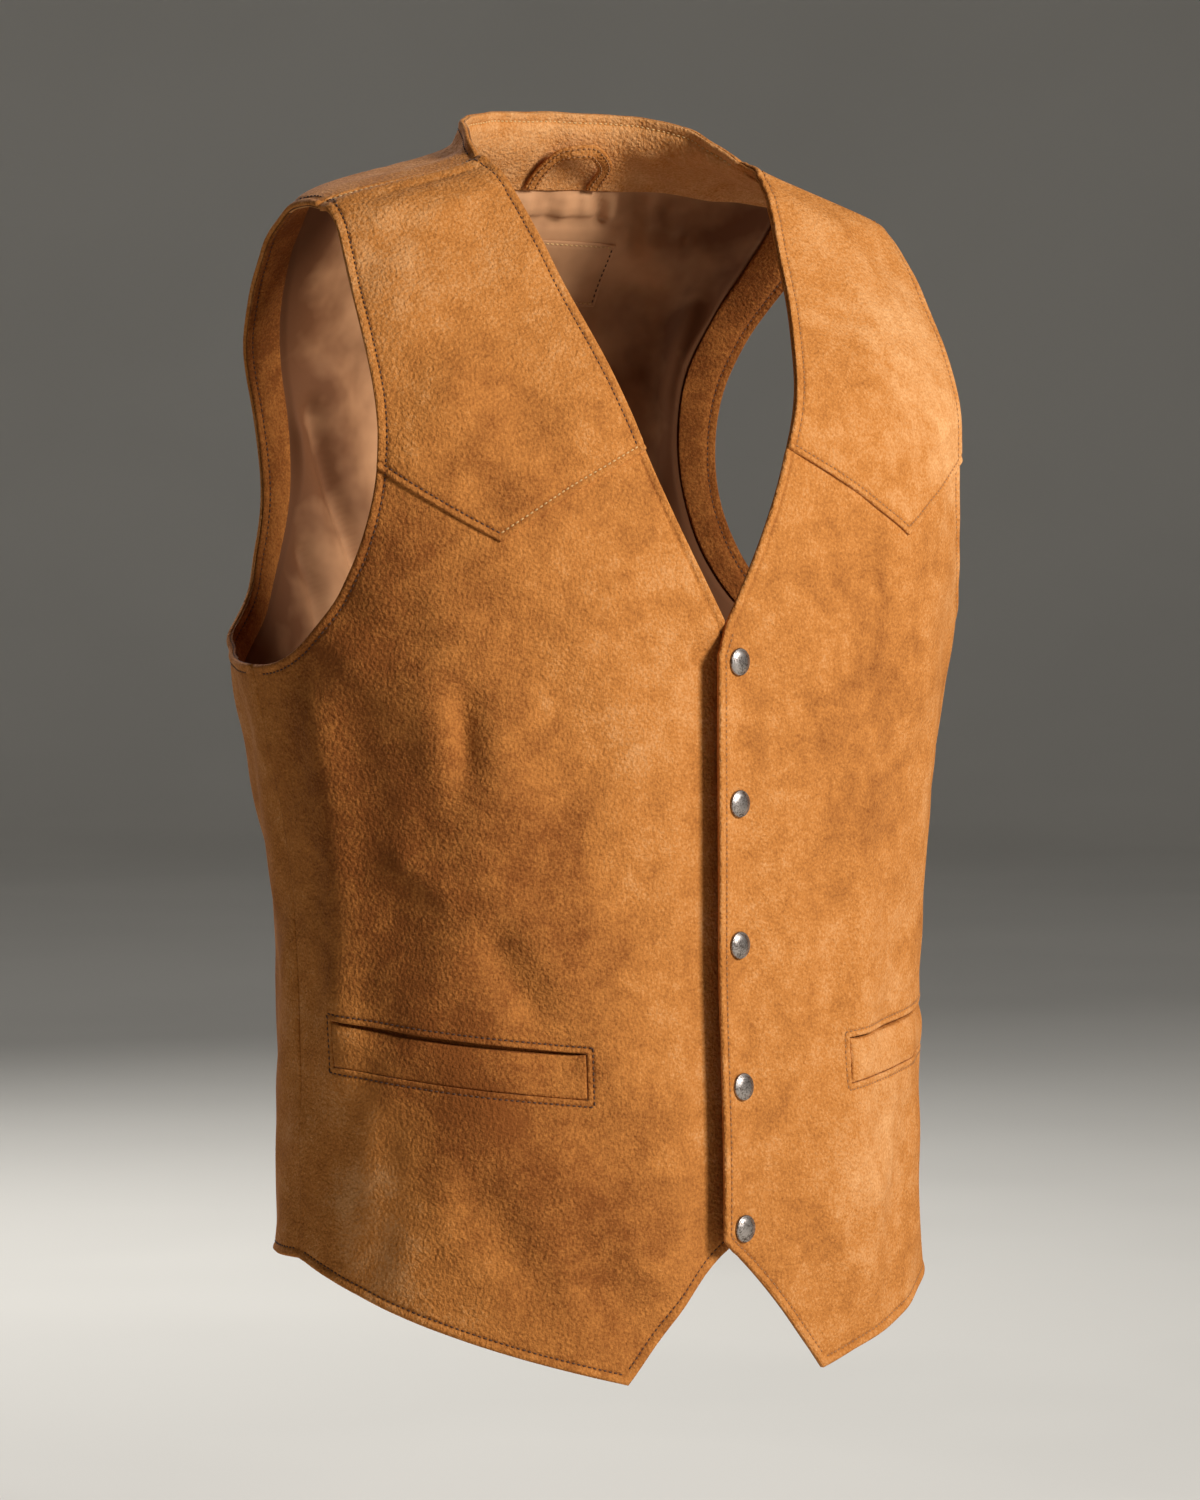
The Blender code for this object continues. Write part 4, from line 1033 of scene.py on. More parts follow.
def brushed_suede():
    """Faux suede, a felted microfibre that is brushed: clouded where its fibres lie towards or away from the
    light, pebbled by short tufts, quite matt, with a faint pale sheen at grazing angles."""
    found = bpy.data.materials.get("brushed_suede")
    if found:
        return found
    colours = bpy.context.scene.vest_colours
    sheen = (*colours.suede_light, 1.0)
    material, tree, shader = new_material(
        "brushed_suede",
        Roughness=0.95,
        Specular_IOR_Level=0.15,
        Sheen_Weight=0.04,
        Sheen_Roughness=0.4,
        Sheen_Tint=sheen,
    )
    place = add(tree, "ShaderNodeTexCoord").outputs["Object"]
    # The tone attribute holds brushed tones and painted light and shade along stitches, seams, tucks and
    # facings
    nap = add(tree, "ShaderNodeAttribute", {"attribute_name": "nap"}).outputs["Fac"]
    noise = "ShaderNodeTexNoise"
    # Clouds as wide as a hand's stroke, brushed patches in them, and tufts, drawn coarser than fibres so
    # that they show
    wide = {"Vector": place, "Scale": per_metre(44), "Detail": 3.0, "Distortion": 0.9}
    narrow = {"Vector": place, "Scale": per_metre(13), "Detail": 5.0, "Distortion": 0.5}
    short = {"Vector": place, "Scale": per_metre(1.5), "Detail": 2.0, "Roughness": 0.6}
    cloud, patch, tuft = (add(tree, noise, None, inputs) for inputs in (wide, narrow, short))
    tone = nap
    for source, share in ((cloud, 0.48), (patch, 0.55), (tuft, 0.8)):
        parts = {0: source.outputs["Fac"], 1: share, 2: tone}
        tone = add(tree, "ShaderNodeMath", {"operation": "MULTIPLY_ADD"}, parts).outputs[0]
    limits = {"Value": tone, "From Min": 0.35, "From Max": 1.48}
    factor = add(tree, "ShaderNodeMapRange", None, limits).outputs[0]
    stops = ((0.10, colours.suede_dark), (0.5, colours.suede_mid), (0.92, colours.suede_light))
    tree.links.new(spread(tree, factor, stops), shader.inputs["Base Color"])
    fine = {"Vector": place, "Scale": per_metre(1.9), "Detail": 2.0, "Roughness": 0.5}
    pebble = add(tree, noise, None, fine).outputs["Fac"]
    low = {"Strength": 0.35, "Distance": 0.0012, "Height": patch.outputs["Fac"]}
    soft = add(tree, "ShaderNodeBump", None, low).outputs[0]
    high = {"Strength": 1.0, "Distance": 0.0013, "Height": pebble, "Normal": soft}
    grain = add(tree, "ShaderNodeBump", None, high)
    tree.links.new(grain.outputs[0], shader.inputs["Normal"])
    return material


def woven_lining():
    """Woven cotton lining, nearly matt: its weave is too fine to show, so only soft slubs are drawn."""
    found = bpy.data.materials.get("woven_lining")
    if found:
        return found
    colours = bpy.context.scene.vest_colours
    material, tree, shader = new_material("woven_lining", Roughness=0.8, Specular_IOR_Level=0.2)
    place = add(tree, "ShaderNodeTexCoord").outputs["Object"]
    cloud = add(tree, "ShaderNodeTexNoise", None, {"Vector": place, "Scale": per_metre(40), "Detail": 3.0})
    nap = add(tree, "ShaderNodeAttribute", {"attribute_name": "nap"}).outputs["Fac"]
    tone = add(tree, "ShaderNodeMath", {"operation": "ADD"}, {0: cloud.outputs["Fac"], 1: nap}).outputs[0]
    # The tone attribute carries painted shade, darkening the lining beside the armholes
    stops = ((0.0, colours.lining_painted_shade_colour), (0.45, colours.lining_shade), (0.75, colours.lining))
    tree.links.new(spread(tree, tone, stops), shader.inputs["Base Color"])
    threads = []
    for direction in ("X", "Z"):
        wave = add(
            tree,
            "ShaderNodeTexWave",
            {"bands_direction": direction},
            {"Vector": place, "Scale": per_metre(0.9) / WAVE_TURN, "Distortion": 1.0, "Detail Scale": 2.0},
        )
        threads.append(wave.outputs["Fac"])
    weave = add(tree, "ShaderNodeMath", {"operation": "MULTIPLY"}, {0: threads[0], 1: threads[1]}).outputs[0]
    bump = add(tree, "ShaderNodeBump", None, {"Strength": 0.12, "Distance": 0.0002, "Height": weave})
    tree.links.new(bump.outputs[0], shader.inputs["Normal"])
    return material


def spun_thread(name, tint):
    """Spun sewing thread: a soft satin, with slubs of lighter and darker yarn about a millimetre long."""
    found = bpy.data.materials.get(name)
    if found:
        return found
    material, tree, shader = new_material(name, Roughness=0.7)
    place = add(tree, "ShaderNodeTexCoord").outputs["Object"]
    slub = add(tree, "ShaderNodeTexNoise", None, {"Vector": place, "Scale": per_metre(1.2), "Detail": 2.0})
    shade = tuple(YARN_SHADE * part for part in tint)
    yarn = spread(tree, slub.outputs["Fac"], ((0.35, shade), (0.65, tuple(tint))))
    tree.links.new(yarn, shader.inputs["Base Color"])
    return material


def antique_nickel():
    """Nickel plate, blackened and tumbled: bright where rubbed, dark in pits under a millimetre wide."""
    found = bpy.data.materials.get("antique_nickel_plate")
    if found:
        return found
    colours = bpy.context.scene.vest_colours
    material, tree, shader = new_material("antique_nickel_plate", Metallic=1.0)
    place = add(tree, "ShaderNodeTexCoord").outputs["Object"]
    pits = add(tree, "ShaderNodeTexNoise", None, {"Vector": place, "Scale": per_metre(0.9), "Detail": 4.0})
    rub = add(tree, "ShaderNodeTexNoise", None, {"Vector": place, "Scale": per_metre(5), "Detail": 2.0})
    parts = {0: rub.outputs["Fac"], 1: 0.6, 2: pits.outputs["Fac"]}
    mixed = add(tree, "ShaderNodeMath", {"operation": "MULTIPLY_ADD"}, parts).outputs[0]
    tint = spread(tree, mixed, ((0.62, colours.nickel_dark), (0.86, colours.nickel)))
    tree.links.new(tint, shader.inputs["Base Color"])
    limits = {"Value": pits.outputs["Fac"], "To Min": 0.52, "To Max": 0.30}
    rough = add(tree, "ShaderNodeMapRange", None, limits).outputs[0]
    tree.links.new(rough, shader.inputs["Roughness"])
    pitting = {"Strength": 0.25, "Distance": 0.0002, "Height": pits.outputs["Fac"]}
    bump = add(tree, "ShaderNodeBump", None, pitting)
    tree.links.new(bump.outputs[0], shader.inputs["Normal"])
    return material


def painted_floor(tint):
    """Matt painted studio floor, faintly uneven from the roller."""
    material, tree, shader = new_material("painted_floor", Roughness=0.85)
    place = add(tree, "ShaderNodeTexCoord").outputs["Object"]
    roller = add(tree, "ShaderNodeTexNoise", None, {"Vector": place, "Scale": per_metre(600), "Detail": 2.0})
    shade = tuple(PAINT_SHADE * part for part in tint)
    paint = spread(tree, roller.outputs["Fac"], ((0.4, shade), (0.6, tuple(tint))))
    tree.links.new(paint, shader.inputs["Base Color"])
    return material


FRONTS = {}


def front_of(side):
    """The front of one side, worked out once."""
    if side not in FRONTS:
        FRONTS[side] = Front(side, bpy.context.scene.vest_sizes)
    return FRONTS[side]


def thread(shade):
    """The sewing thread in three tints: tan, pale with painted light, and brown with painted shade."""
    colours = bpy.context.scene.vest_colours
    tints = {"pale": colours.thread_painted_light, "tan": colours.thread_mid, "brown": colours.thread_painted_shade}
    return spun_thread(f"{shade}_thread", tints[shade])


def edge_rows(lines, inside, edges, lift_at, sizes, inwards=False):
    """Rings for rows of stitches inside some edges, each given by its line of places and its inset."""
    kept = (clear_of(inset_line(line, inside, inset), edges, inset) for line, inset in lines)
    return [stitch_points(line, lift_at, sizes, inwards) for line in kept]


def extended(line, reach):
    """A line of places carried straight on past both ends by a reach in metres."""
    points = surface(line[:, 0], line[:, 1])
    first = reach / np.linalg.norm(points[1] - points[0])
    last = reach / np.linalg.norm(points[-1] - points[-2])
    head = line[0] + first * (line[0] - line[1])
    tail = line[-1] + last * (line[-1] - line[-2])
    return np.concatenate([head[None], line, tail[None]])


class VEST_OT_fronts(bpy.types.Operator):
    """Makes the two fronts with their pocket windows, turned edges and stitches"""

    bl_idname = "vest.fronts"
    bl_label = "Fronts"

    def execute(self, context):
        sizes = context.scene.vest_sizes
        for side in (-1, 1):
            front = front_of(side)
            cloth, row, column = front.cloth, front.row, front.column
            outer, inner = front.offsets(cloth)
            lift = front.common_lift(cloth)
            keep = np.ones((cloth.places.shape[0] - 1, cloth.places.shape[1] - 1), bool)
            across = slice(column["pocket_inner"], column["pocket_outer"])
            keep[row["pocket_bottom"] : row["pocket_top"], across] = False
            faces = raised(cloth, outer + lift), raised(cloth, inner + lift)
            piece = shell(f"suede_front_{front.hand}", *faces, brushed_suede(), front.nap(cloth), keep)
            sewn_piece(piece, [f"front_{front.hand}"])
            places = cloth.places
            inside = places[len(places) // 2, places.shape[1] // 2]
            hem_column = column["hem_point"]
            lines = (
                places[: row["yoke"], 0],
                places[0, : hem_column + 1],
                places[0, hem_column:],
                places[row["chest"] : row["yoke"], -1],
            )
            edges = (*front.free_lines, *front.seam_lines)
            inset_lines = [(line, sizes.inset) for line in lines]
            runs = edge_rows(inset_lines, inside, edges, front.outer_lift, sizes)
            # Painted shade: the right front's stitches take the brown thread, the left front's the tan
            rows = stitches(f"edge_stitches_{front.hand}", runs, thread("brown" if side < 0 else "tan"))
        return {"FINISHED"}


class VEST_OT_yokes(bpy.types.Operator):
    """Makes the pointed yokes over the shoulders of the fronts, with their stitches"""

    bl_idname = "vest.yokes"
    bl_label = "Yokes"

    def execute(self, context):
        sizes = context.scene.vest_sizes
        for side in (-1, 1):
            front = front_of(side)
            first = front.row["yoke"]
            cloth = Cloth(*(part[first:] for part in front.cloth))
            outer, inner = front.yoke_offsets(cloth)
            lift = front.common_lift(cloth)
            faces = raised(cloth, outer + lift), raised(cloth, inner + lift)
            piece = shell(f"suede_yoke_{front.hand}", *faces, brushed_suede(), front.yoke_tone_and_painted_light(cloth))
            sewn_piece(piece, [f"front_yoke_{front.hand}"])
            places = cloth.places
            inside = places[len(places) // 3, places.shape[1] // 2]
            point = front.column["yoke_point"]
            edges = (*front.free_lines, front.yoke_line)
            upper = [(places[0, : point + 1], sizes.yoke_inset), (places[-1], SHOULDER_INSET)]
            edge = [(places[:, k], sizes.inset) for k in (0, -1)]
            edge.append((places[0, point:], sizes.yoke_inset))
            # Painted light and shade: the right yoke's upper rows take the pale thread, its edge rows the
            # brown
            groups = (("yoke_stitches", upper, "pale"), ("yoke_edge_stitches", edge, "brown"))
            for name, rows, shade in groups:
                runs = edge_rows(rows, inside, edges, front.yoke_lift, sizes)
                stitches(f"{name}_{front.hand}", runs, thread(shade if side < 0 else "tan"))
        return {"FINISHED"}


class VEST_OT_pockets(bpy.types.Operator):
    """Makes the welts that fill the pocket windows, and the stitches round the windows"""

    bl_idname = "vest.pockets"
    bl_label = "Pockets"

    def execute(self, context):
        sizes = context.scene.vest_sizes
        for side in (-1, 1):
            front = front_of(side)
            window = front.cloth.places[front.window]
            along = np.linspace(0, 1, window.shape[1])[None]
            low, mouth = window[0], window[-1].copy()
            sag = WELT_MOUTH_SAG * np.sin(math.pi * along[0]) ** WELT_MOUTH_POWER
            mouth[:, 1] -= WELT_MOUTH_ENDS + sag
            tuck_rows = 1 + np.linspace(0, WELT_TUCK / POCKET_HEIGHT, WELT_TUCK_ROWS + 1)[1:]
            rise = np.concatenate([graded(POCKET_HEIGHT, True, True, sizes), tuck_rows])[:, None]
            cloth = lay_out((1 - rise[..., None]) * low + rise[..., None] * mouth)
            edge = distance_to(cloth.points, cloth.points[0], cloth.points[:, 0], cloth.points[:, -1])
            face = np.minimum(rise, 1)
            crown = WELT_CROWN * np.maximum(np.sin(math.pi * face), 0) ** WELT_CROWN_POWER
            tilt = -WELT_TILT * smooth_step(WELT_TILT_FROM, 1.0, face) * np.sin(math.pi * along)
            tuck = smooth_step(1, 1 + WELT_TUCK_DROP / POCKET_HEIGHT, rise)
            inner = WELT_LAYER[0] + tilt + (WELT_TUCK_DEPTH - tilt) * tuck
            thick = (WELT_LAYER[1] - WELT_LAYER[0] + crown) * quarter_round(edge, WELT_ROLL)
            outer = inner + np.maximum(thick, THINNEST)
            lift = front.common_lift(cloth)
            faces = raised(cloth, outer + lift), raised(cloth, inner + lift)
            # Painted shade: the tuck behind the window is darkened
            nap = nap_and_painted_light_of(cloth) + WELT_TUCK_PAINTED_SHADE * tuck
            piece = shell(f"suede_welt_{front.hand}", *faces, brushed_suede(), nap)
            sewn_piece(piece, [f"pocket_welt_{front.hand}"])
            inside = window[len(window) // 2, window.shape[1] // 2]
            lines = (window[0], window[-1], window[:, 0], window[:, -1])
            out = sizes.pocket_inset
            lines = [inset_line(extended(line, out), inside, -out) for line in lines]
            runs = [stitch_points(line, front.outer_lift, sizes) for line in lines]
            # Painted shade: the right pocket's stitches take the brown thread
            rows = stitches(f"pocket_stitches_{front.hand}", runs, thread("brown" if side < 0 else "tan"))
        return {"FINISHED"}


class Back:
    """The back: its grid, its edges as lines of points, and the offsets of the layers sewn into it."""

    def __init__(self, sizes):
        self.sizes = sizes
        self.cloth, self.row, columns = back_grid(sizes, BACK_GROWTH, True)
        points, row = self.cloth.points, self.row
        self.centre = len(columns) - 1
        corner = int(np.argmin(np.abs(columns - NECK_CORNER_SHARE)))
        self.band = len(columns) - int(np.argmin(np.abs(columns - FACING_SHARE)))
        first, last = self.centre - corner, self.centre + corner
        self.neck = slice(first, last + 1)
        under = row["underarm"]
        self.armhole_lines = (points[under:, 0], points[under:, -1])
        self.free_lines = (points[0], points[-1, self.neck], *self.armhole_lines)
        self.side_lines = (points[: under + 1, 0], points[: under + 1, -1])
        self.shoulder_lines = (points[-1, : first + 1], points[-1, last:])
        facing = self.cloth.places[row["facing"], ::-1]
        self.facing_levels = (facing[:, 0], facing[:, 1])
        first_swing = FACING_FIRST_SWING * swing_at(FACING_OUTER_LEVEL)
        start = armhole_edge(np.array(first_swing), BACK_ARMHOLE, 1)[1]
        self.band_row = under + int(np.argmin(np.abs(self.cloth.places[under:, -1, 1] - start)))
        inner = self.cloth.places[self.band_row : row["facing"], -self.band]
        foot = inner[0, 1] - BAND_FADE[0], math.pi / 2 - BAND_FADE[1]
        self.band_edge = np.append(foot[0], inner[:, 1]), np.append(foot[1], inner[:, 0])

    def part(self, rows, columns=slice(None)):
        """The cloth of some rows and columns."""
        return Cloth(*(array[rows, columns] for array in self.cloth))

    def offsets(self, cloth):
        """The back's offsets: a rounded turned edge up to the stitches and a valley at the seams."""
        sizes = self.sizes
        free = distance_to(cloth.points, *self.free_lines)
        side = distance_to(cloth.points, *self.side_lines)
        shoulder = distance_to(cloth.points, *self.shoulder_lines)
        half = BACK_LAYER[1] + (sizes.rim - BACK_LAYER[1]) * turned_band(free, sizes.inset)
        outer = half * quarter_round(free, sizes.rim) - groove(free, sizes.inset)
        outer = outer - seam_dip(side, shoulder)
        inner = BACK_LAYER[0] * quarter_round(free, -BACK_LAYER[0])
        return outer, np.minimum(inner, outer - THINNEST)

    def outer_lift(self, cloth):
        return self.offsets(cloth)[0]

    def lining_relief(self, cloth):
        """How far the lining stands towards the wearer: its ease between sewn edges, gathers and folds."""
        angle, level = cloth.places[..., 0], cloth.places[..., 1]
        below = np.interp(angle, *self.facing_levels) - level
        past_band = math.pi - np.abs(angle - math.pi) - np.interp(level, *self.band_edge)
        past_band = past_band * FOLD_GIRTH_RADIUS
        sewn = distance_to(cloth.points, *self.free_lines[:1], *self.armhole_lines, *self.side_lines)
        sewn = np.minimum(sewn, np.maximum(past_band, 0) + LINING_SQUEEZE[0])
        loose = smooth_step(0.0, GATHER_FADE, below) * smooth_step(*LINING_SQUEEZE, sewn)
        ease = LINING_EASE * smooth_step(0.0, LINING_EASE_WIDTH, below)
        ease = ease * smooth_step(0.0, LINING_EASE_WIDTH, sewn)
        near = self.sizes.gather / 2 * smooth_step(0.0, GATHER_FADE, below)
        folds = LINING_FOLD_SCALE * strokes(LINING_FOLDS, angle, level)
        return np.maximum((near + ease + folds) * loose, 0)

    def lining_offsets(self, cloth):
        """The lining's offsets: eased and gathered where it hangs free, flat where it is sewn in."""
        free = distance_to(cloth.points, *self.free_lines[1:])
        squeeze = 1 - smooth_step(*LINING_SQUEEZE, free)
        relief = self.lining_relief(cloth)
        inner = LINING_LAYER[0] + (LINING_SQUEEZED[0] - LINING_LAYER[0]) * squeeze - relief
        outer = LINING_LAYER[1] + (LINING_SQUEEZED[1] - LINING_LAYER[1]) * squeeze - relief
        return outer, inner

    def facing_offsets(self, cloth, cut_lines):
        """A facing's offsets: it closes on the back along the free edge and ends in a rounded cut edge."""
        free = distance_to(cloth.points, *self.free_lines[1:])
        cut = distance_to(cloth.points, *cut_lines)
        outer = FACING_LAYER[1] + FACING_SHIFT * (1 - smooth_step(*FACING_SHIFT_BAND, free))
        thick = FACING_LAYER[1] - FACING_LAYER[0]
        thick = thick * quarter_round(free, FACING_ROLL) * quarter_round(cut, FACING_ROLL)
        thick = thick - groove(free, FACING_INSET)
        return outer, outer - np.maximum(thick, THINNEST)


BACKS = []


def the_back():
    """The back, worked out once."""
    if not BACKS:
        BACKS.append(Back(bpy.context.scene.vest_sizes))
    return BACKS[0]


class VEST_OT_back(bpy.types.Operator):
    """Makes the plain back with its turned edges and stitches"""

    bl_idname = "vest.back"
    bl_label = "Back"

    def execute(self, context):
        sizes = context.scene.vest_sizes
        back = the_back()
        outer, inner = back.offsets(back.cloth)
        faces = raised(back.cloth, outer), raised(back.cloth, inner)
        # Painted shade darkens the back along its rows of stitches
        rows = stitch_line(distance_to(back.cloth.points, *back.free_lines), sizes.inset)
        piece = shell("suede_back", *faces, brushed_suede(), nap_and_painted_light_of(back.cloth) + GROOVE_PAINTED_SHADE * rows)
        sewn_piece(piece, ["back_panel"])
        places, under = back.cloth.places, back.row["underarm"]
        inside = places[len(places) // 2, back.centre]
        lines = (places[0], places[-1, back.neck], places[under:, 0], places[under:, -1])
        edges = (*back.free_lines, *back.side_lines, *back.shoulder_lines)
        inset_lines = [(line, sizes.inset) for line in lines]
        runs = edge_rows(inset_lines, inside, edges, back.outer_lift, sizes)
        # Painted shade: the back's stitches take the brown thread
        rows = stitches("back_stitches", runs, thread("brown"))
        return {"FINISHED"}


class VEST_OT_lining(bpy.types.Operator):
    """Makes the gathered lining of the back and the plain patch sewn on it"""

    bl_idname = "vest.lining"
    bl_label = "Lining"

    def execute(self, context):
        sizes = context.scene.vest_sizes
        back = the_back()
        whole = back_grid(sizes, LINING_GROWTH, False)[0]
        first = int(np.argmin(np.abs(whole.places[:, 0, 1] - HEM_SIDE_LEVEL - LINING_HEM_RISE)))
        cloth = Cloth(*(part[first:] for part in whole))
        faces = [raised(cloth, offset) for offset in back.lining_offsets(cloth)]
        # Painted shade: the lining is darkened beside the armholes through its tone attribute
        from_armhole = distance_to(cloth.points, *back.armhole_lines)
        shade = LINING_PAINTED_SHADE * (1 - smooth_step(0, LINING_PAINTED_SHADE_WIDTH, from_armhole))
        lining = shell("back_lining_cloth", *faces, woven_lining(), -shade)
        sewn_piece(lining, ["back_lining"])
        corners = np.radians(PATCH_CORNERS) * (1, 180 / math.pi)
        up, across = (np.linspace(0, 1, count + 1) for count in PATCH_CELLS)
        up, across = up[:, None, None], across[None, :, None]
        low = corners[0] + (corners[1] - corners[0]) * across
        high = corners[3] + (corners[2] - corners[3]) * across
        patch = lay_out(low + (high - low) * up)
        points = patch.points
        edges = (points[0], points[-1], points[:, 0], points[:, -1])

        def patch_offsets(cloth):
            """The patch's offsets: it lies on the lining, as thick as its cloth, with round edges."""
            from_edge = distance_to(cloth.points, *edges)
            outer = back.lining_offsets(cloth)[1] - PATCH_GAP
            thick = PATCH_THICKNESS * quarter_round(from_edge, PATCH_THICKNESS)
            return outer, outer - np.maximum(thick - groove(from_edge, PATCH_INSET) / 2, THINNEST)

        faces = [raised(patch, offset) for offset in patch_offsets(patch)]
        piece = shell("plain_patch", *faces, woven_lining())
        sewn_piece(piece, ["lining_patch"])
        grid = patch.places
        inside = grid[len(grid) // 2, grid.shape[1] // 2]

        def patch_lift(cloth):
            return patch_offsets(cloth)[1]

        ends = grid[:, 0], grid[:, -1]
        # Painted light and shade: the patch's long rows take the pale thread, its ends the brown
        groups = (("patch_stitches", (grid[-1], grid[0]), "pale"), ("patch_end_stitches", ends, "brown"))
        for name, lines, shade in groups:
            inset_lines = [(line, PATCH_INSET) for line in lines]
            runs = edge_rows(inset_lines, inside, edges, patch_lift, sizes, True)
            stitches(name, runs, thread(shade))
        return {"FINISHED"}


class VEST_OT_facings(bpy.types.Operator):
    """Makes the facings inside the back's neck and armholes, with their stitches, and the hanger loop"""

    bl_idname = "vest.facings"
    bl_label = "Facings and loop"

    def execute(self, context):
        back = the_back()
        row, band = back.row, back.band
        neck = back.part(slice(row["facing"], None))
        armhole = slice(back.band_row, row["facing"])
        right, left = back.part(armhole, slice(None, band)), back.part(armhole, slice(-band, None))
        loop = hanger_loop(context.scene.vest_sizes)
        line = neck.places[-1, back.neck]
        # Painted light and shade: the neck facing's stitches take the pale thread, the armhole facings' the
        # brown
        self.facing("neck", "back_neck_facing", neck, (neck.points[0],), line, "pale", loop)
        for hand, cloth, cut, edge in (("right", right, -1, 0), ("left", left, 0, -1)):
            cut_lines = (cloth.points[:, cut], cloth.points[0])
            node = f"armhole_facing_{hand}"
            self.facing(f"armhole_{hand}", node, cloth, cut_lines, cloth.places[:, edge], "brown", [])
        return {"FINISHED"}

    def facing(self, name, node, cloth, cut_lines, line, shade, on_it):
        """One facing: its band of cloth and a row of stitches along the free edge."""
        back = the_back()
        faces = [raised(cloth, offset) for offset in back.facing_offsets(cloth, cut_lines)]
        rows = stitch_line(distance_to(cloth.points, *back.free_lines[1:]), FACING_INSET)
        kind = name.split("_")[0]
        # Painted light: the neck facing lighter, the armhole facings darker, and painted shade along the
        # stitches
        nap = nap_and_painted_light_of(cloth) + FACING_PAINTED_LIGHT[kind] + GROOVE_PAINTED_SHADE * rows
        piece = shell(f"suede_facing_{name}", *faces, brushed_suede(), nap)
        sewn_piece(piece, [node])
        middle = back.cloth.places[back.row["facing"] - FACING_ROWS_BELOW, back.centre]

        def lift(cloth):
            return back.facing_offsets(cloth, cut_lines)[1]

        edges = (*back.free_lines, *back.side_lines, *back.shoulder_lines)
        runs = edge_rows([(line, FACING_INSET)], middle, edges, lift, back.sizes, True)
        rows = stitches(f"facing_stitches_{name}", runs, thread(shade))


def hanger_loop(sizes):
    """The hanger loop: a flat strap with a rounded outline carried over an arch, stitched near each edge.

    The arch's x is a cosine and its level a sine, each to a power; its top stands further off the back."""
    along, around = LOOP_CELLS
    turned = (1 - np.cos(np.linspace(0, math.pi, along + 1))) * math.pi / 2
    turned = np.clip(turned, LOOP_END_TRIM, math.pi - LOOP_END_TRIM)
    x = LOOP_X - LOOP_HALF_SPAN * signed_power(np.cos(turned), LOOP_WIDTH_POWER)
    arch = np.sin(turned) ** LOOP_ARCH_POWER
    level = LOOP_BASE_LEVEL + LOOP_RISE * arch
    cloth = lay_out(np.stack([math.pi - angle_at(x, level), level], axis=-1))
    middle = raised(cloth, -LOOP_STAND_OFF[0] - (LOOP_STAND_OFF[1] - LOOP_STAND_OFF[0]) * arch**2)
    sideways = unit(np.cross(np.gradient(middle, axis=0), cloth.normals))
    spin = (np.arange(around) + 0.5) * 2 * math.pi / around
    wide = LOOP_STRAP[0] / 2 * signed_power(np.cos(spin), 2 / LOOP_PROFILE_POWER)
    thick = LOOP_STRAP[1] / 2 * signed_power(np.sin(spin), 2 / LOOP_PROFILE_POWER)
    thick = thick - np.sign(thick) * groove(LOOP_STRAP[0] / 2 - np.abs(wide), LOOP_INSET) / 2
    rings = middle[:, None] + wide[:, None] * sideways[:, None] + thick[:, None] * cloth.normals[:, None]
    piece = tubes("suede_hanger_loop", rings[None], brushed_suede(), np.zeros(rings[..., 0].size))
    sewn_piece(piece, ["hanger_loop"])
    runs = []
    for shift in (LOOP_INSET - LOOP_STRAP[0] / 2, LOOP_STRAP[0] / 2 - LOOP_INSET):
        line = middle + shift * sideways - LOOP_STRAP[1] / 2 * cloth.normals
        run, at = stitch_runs(line, sizes)
        centre, normal = (
            np.stack([np.interp(at, run, values[:, k]) for k in range(3)], axis=-1)
            for values in (line, -cloth.normals)
        )
        runs.append(thread_rings(centre, normal, sizes))
    return [piece, stitches("hanger_loop_stitches", runs, thread("tan"))]


def lap_face(angle, level):
    """Points on the outer face of the left front, as its lap stands."""
    front = front_of(1)
    cloth = lay_out(np.stack([angle, level], axis=-1))
    return raised(cloth, front.outer_lift(cloth))


class VEST_OT_snaps(bpy.types.Operator):
    """Makes the row of domed snap caps on the left front"""

    bl_idname = "vest.snaps"
    bl_label = "Snaps"

    def execute(self, context):
        turn = np.arange(SNAP_SIDES) * 2 * math.pi / SNAP_SIDES
        radius = SNAP_RADIUS * np.array(SNAP_RADII)[:, None, None]
        height = np.array(SNAP_HEIGHTS)[:, None, None] / 1000
        for number in range(SNAP_COUNT):
            level = np.array(SNAP_TOP_LEVEL - number * SNAP_PITCH)
            angle = angle_at(np.array(SNAP_X), level)
            normal = outward(lap_face, angle, level)
            across = unit(np.cross(normal, (0, 0, 1)))
            up = np.cross(across, normal)
            seat = lap_face(angle, level) + SNAP_GAP * normal
            ring = np.cos(turn)[:, None] * across + np.sin(turn)[:, None] * up
            rings = seat + radius * ring + height * normal
            cap = tubes(f"snap_{number + 1}", rings[None], antique_nickel())
            sewn_piece(cap, [f"snap_cap_{number + 1}"])
        return {"FINISHED"}


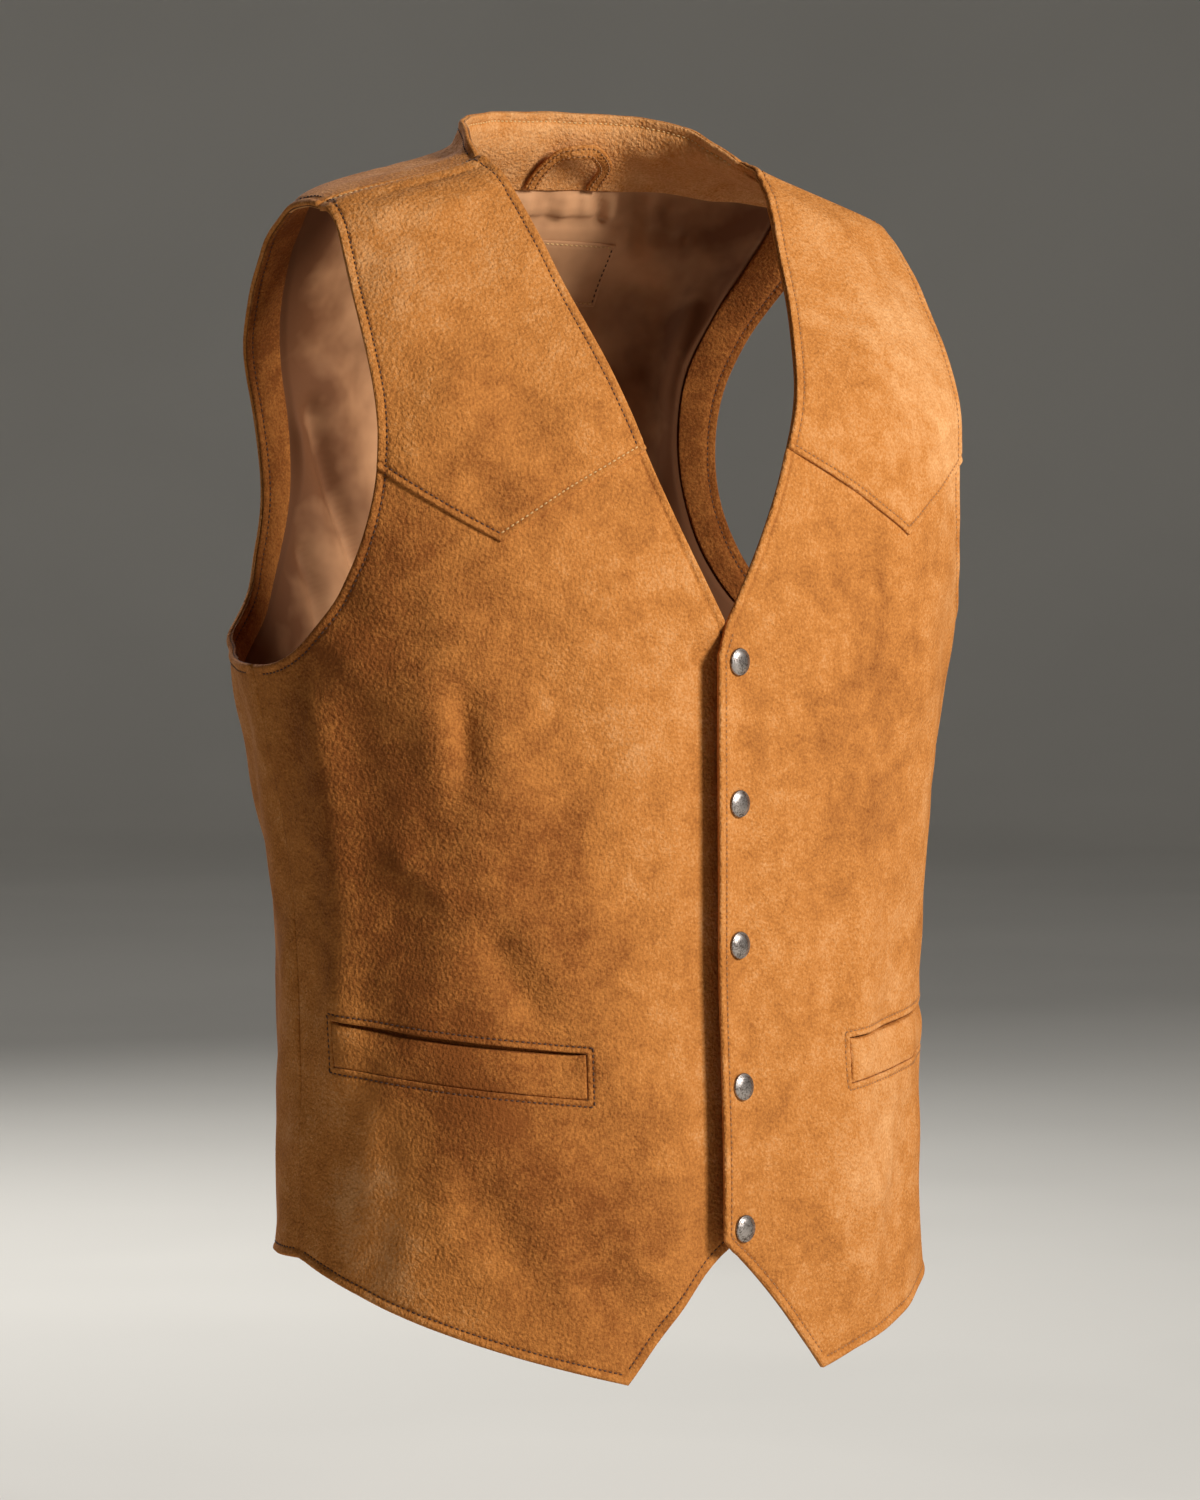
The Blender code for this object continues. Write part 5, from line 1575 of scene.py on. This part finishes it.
def studio_bowl(level, tint):
    """The floor and wall in one: a disc that bends up into a round wall, turned about the upright axis."""
    along, around = BOWL_CELLS
    share = np.linspace(0, 1, along + 1)
    wall_from = BOWL_FLOOR_SHARE + BOWL_BEND_SHARE
    bend = np.clip((share - BOWL_FLOOR_SHARE) / BOWL_BEND_SHARE, 0, 1) * math.pi / 2
    radius = BOWL_FLOOR * np.clip(share / BOWL_FLOOR_SHARE, BOWL_POLE, 1) + BOWL_BEND * np.sin(bend)
    wall = BOWL_HEIGHT * np.clip((share - wall_from) / (1 - wall_from), 0, 1)
    height = level + BOWL_BEND * (1 - np.cos(bend)) + wall
    turn = np.arange(around + 1) * 2 * math.pi / around
    x, y = radius[:, None] * np.cos(turn), radius[:, None] * np.sin(turn)
    points = np.stack([x, y, np.broadcast_to(height[:, None], x.shape)], axis=-1)
    index = np.arange(points[..., 0].size).reshape(x.shape)
    quads = np.stack([index[:-1, :-1], index[1:, :-1], index[1:, 1:], index[:-1, 1:]], axis=-1).reshape(-1, 4)
    return mesh_object("studio_floor", points.reshape(-1, 3), quads, painted_floor(tint))


def soft_light(name, power):
    """A square area light that looks at a place."""
    place, target, size, spread_degrees = LIGHTS[name]
    light = bpy.data.lights.new(f"{name}_light", "AREA")
    light.energy, light.size, light.spread = power, size, math.radians(spread_degrees)
    lamp = bpy.data.objects.new(f"{name}_light", light)
    lamp.location = place
    lamp.rotation_euler = (Vector(target) - Vector(place)).to_track_quat("-Z", "Y").to_euler()
    bpy.context.scene.collection.objects.link(lamp)


class VEST_OT_stage(bpy.types.Operator):
    """Makes the pale floor, the soft lights and the camera at the photo's viewing angle"""

    bl_idname = "vest.stage"
    bl_label = "Stage"

    def execute(self, context):
        scene = context.scene
        stage = scene.vest_stage
        studio_bowl(stage.floor_level, scene.vest_colours.floor)
        for name in LIGHTS:
            soft_light(name, getattr(stage, name))
        world = bpy.data.worlds.new("even_light")
        world.use_nodes = True
        world.node_tree.nodes["Background"].inputs["Strength"].default_value = stage.sky
        world.node_tree.nodes["Background"].inputs["Color"].default_value = (1, 1, 1, 1)
        scene.world = world
        scene.view_settings.view_transform = "Standard"
        turn, rise = stage.azimuth, stage.elevation
        away = Vector((math.sin(turn) * math.cos(rise), -math.cos(turn) * math.cos(rise), math.sin(rise)))
        lens = bpy.data.cameras.new("photo_camera")
        lens.lens, lens.sensor_width, lens.sensor_fit = stage.lens, SENSOR_WIDTH, "AUTO"
        camera = bpy.data.objects.new("photo_camera", lens)
        camera.location = Vector(STAGE_TARGET) + stage.distance * away
        camera.rotation_euler = (-away).to_track_quat("-Z", "Y").to_euler()
        scene.collection.objects.link(camera)
        scene.camera = camera
        return {"FINISHED"}


OPERATORS = (
    VEST_OT_stage,
    VEST_OT_fronts,
    VEST_OT_yokes,
    VEST_OT_pockets,
    VEST_OT_back,
    VEST_OT_lining,
    VEST_OT_facings,
    VEST_OT_snaps,
)


class VEST_PT_panel(bpy.types.Panel):
    """Lists the pieces of the vest in the sidebar"""

    bl_label = "Vest"
    bl_idname = "VEST_PT_panel"
    bl_space_type = "VIEW_3D"
    bl_region_type = "UI"
    bl_category = "Vest"

    def draw(self, context):
        for operator in OPERATORS:
            self.layout.operator(operator.bl_idname)
        for group in GROUPS:
            settings = getattr(context.scene, group)
            for name in settings.bl_rna.properties.keys():
                if name not in ("rna_type", "name"):
                    self.layout.prop(settings, name)


GROUPS = {"vest_sizes": VestSizes, "vest_colours": VestColours, "vest_stage": VestStage}
CLASSES = (*GROUPS.values(), *OPERATORS, VEST_PT_panel)


def register():
    for made in CLASSES:
        bpy.utils.register_class(made)
    for name, group in GROUPS.items():
        setattr(bpy.types.Scene, name, bpy.props.PointerProperty(type=group))


def unregister():
    for name in GROUPS:
        delattr(bpy.types.Scene, name)
    for made in reversed(CLASSES):
        bpy.utils.unregister_class(made)


def main():
    register()
    for operator in OPERATORS:
        category, name = operator.bl_idname.split(".")
        getattr(getattr(bpy.ops, category), name)()


if __name__ == "__main__":
    main()
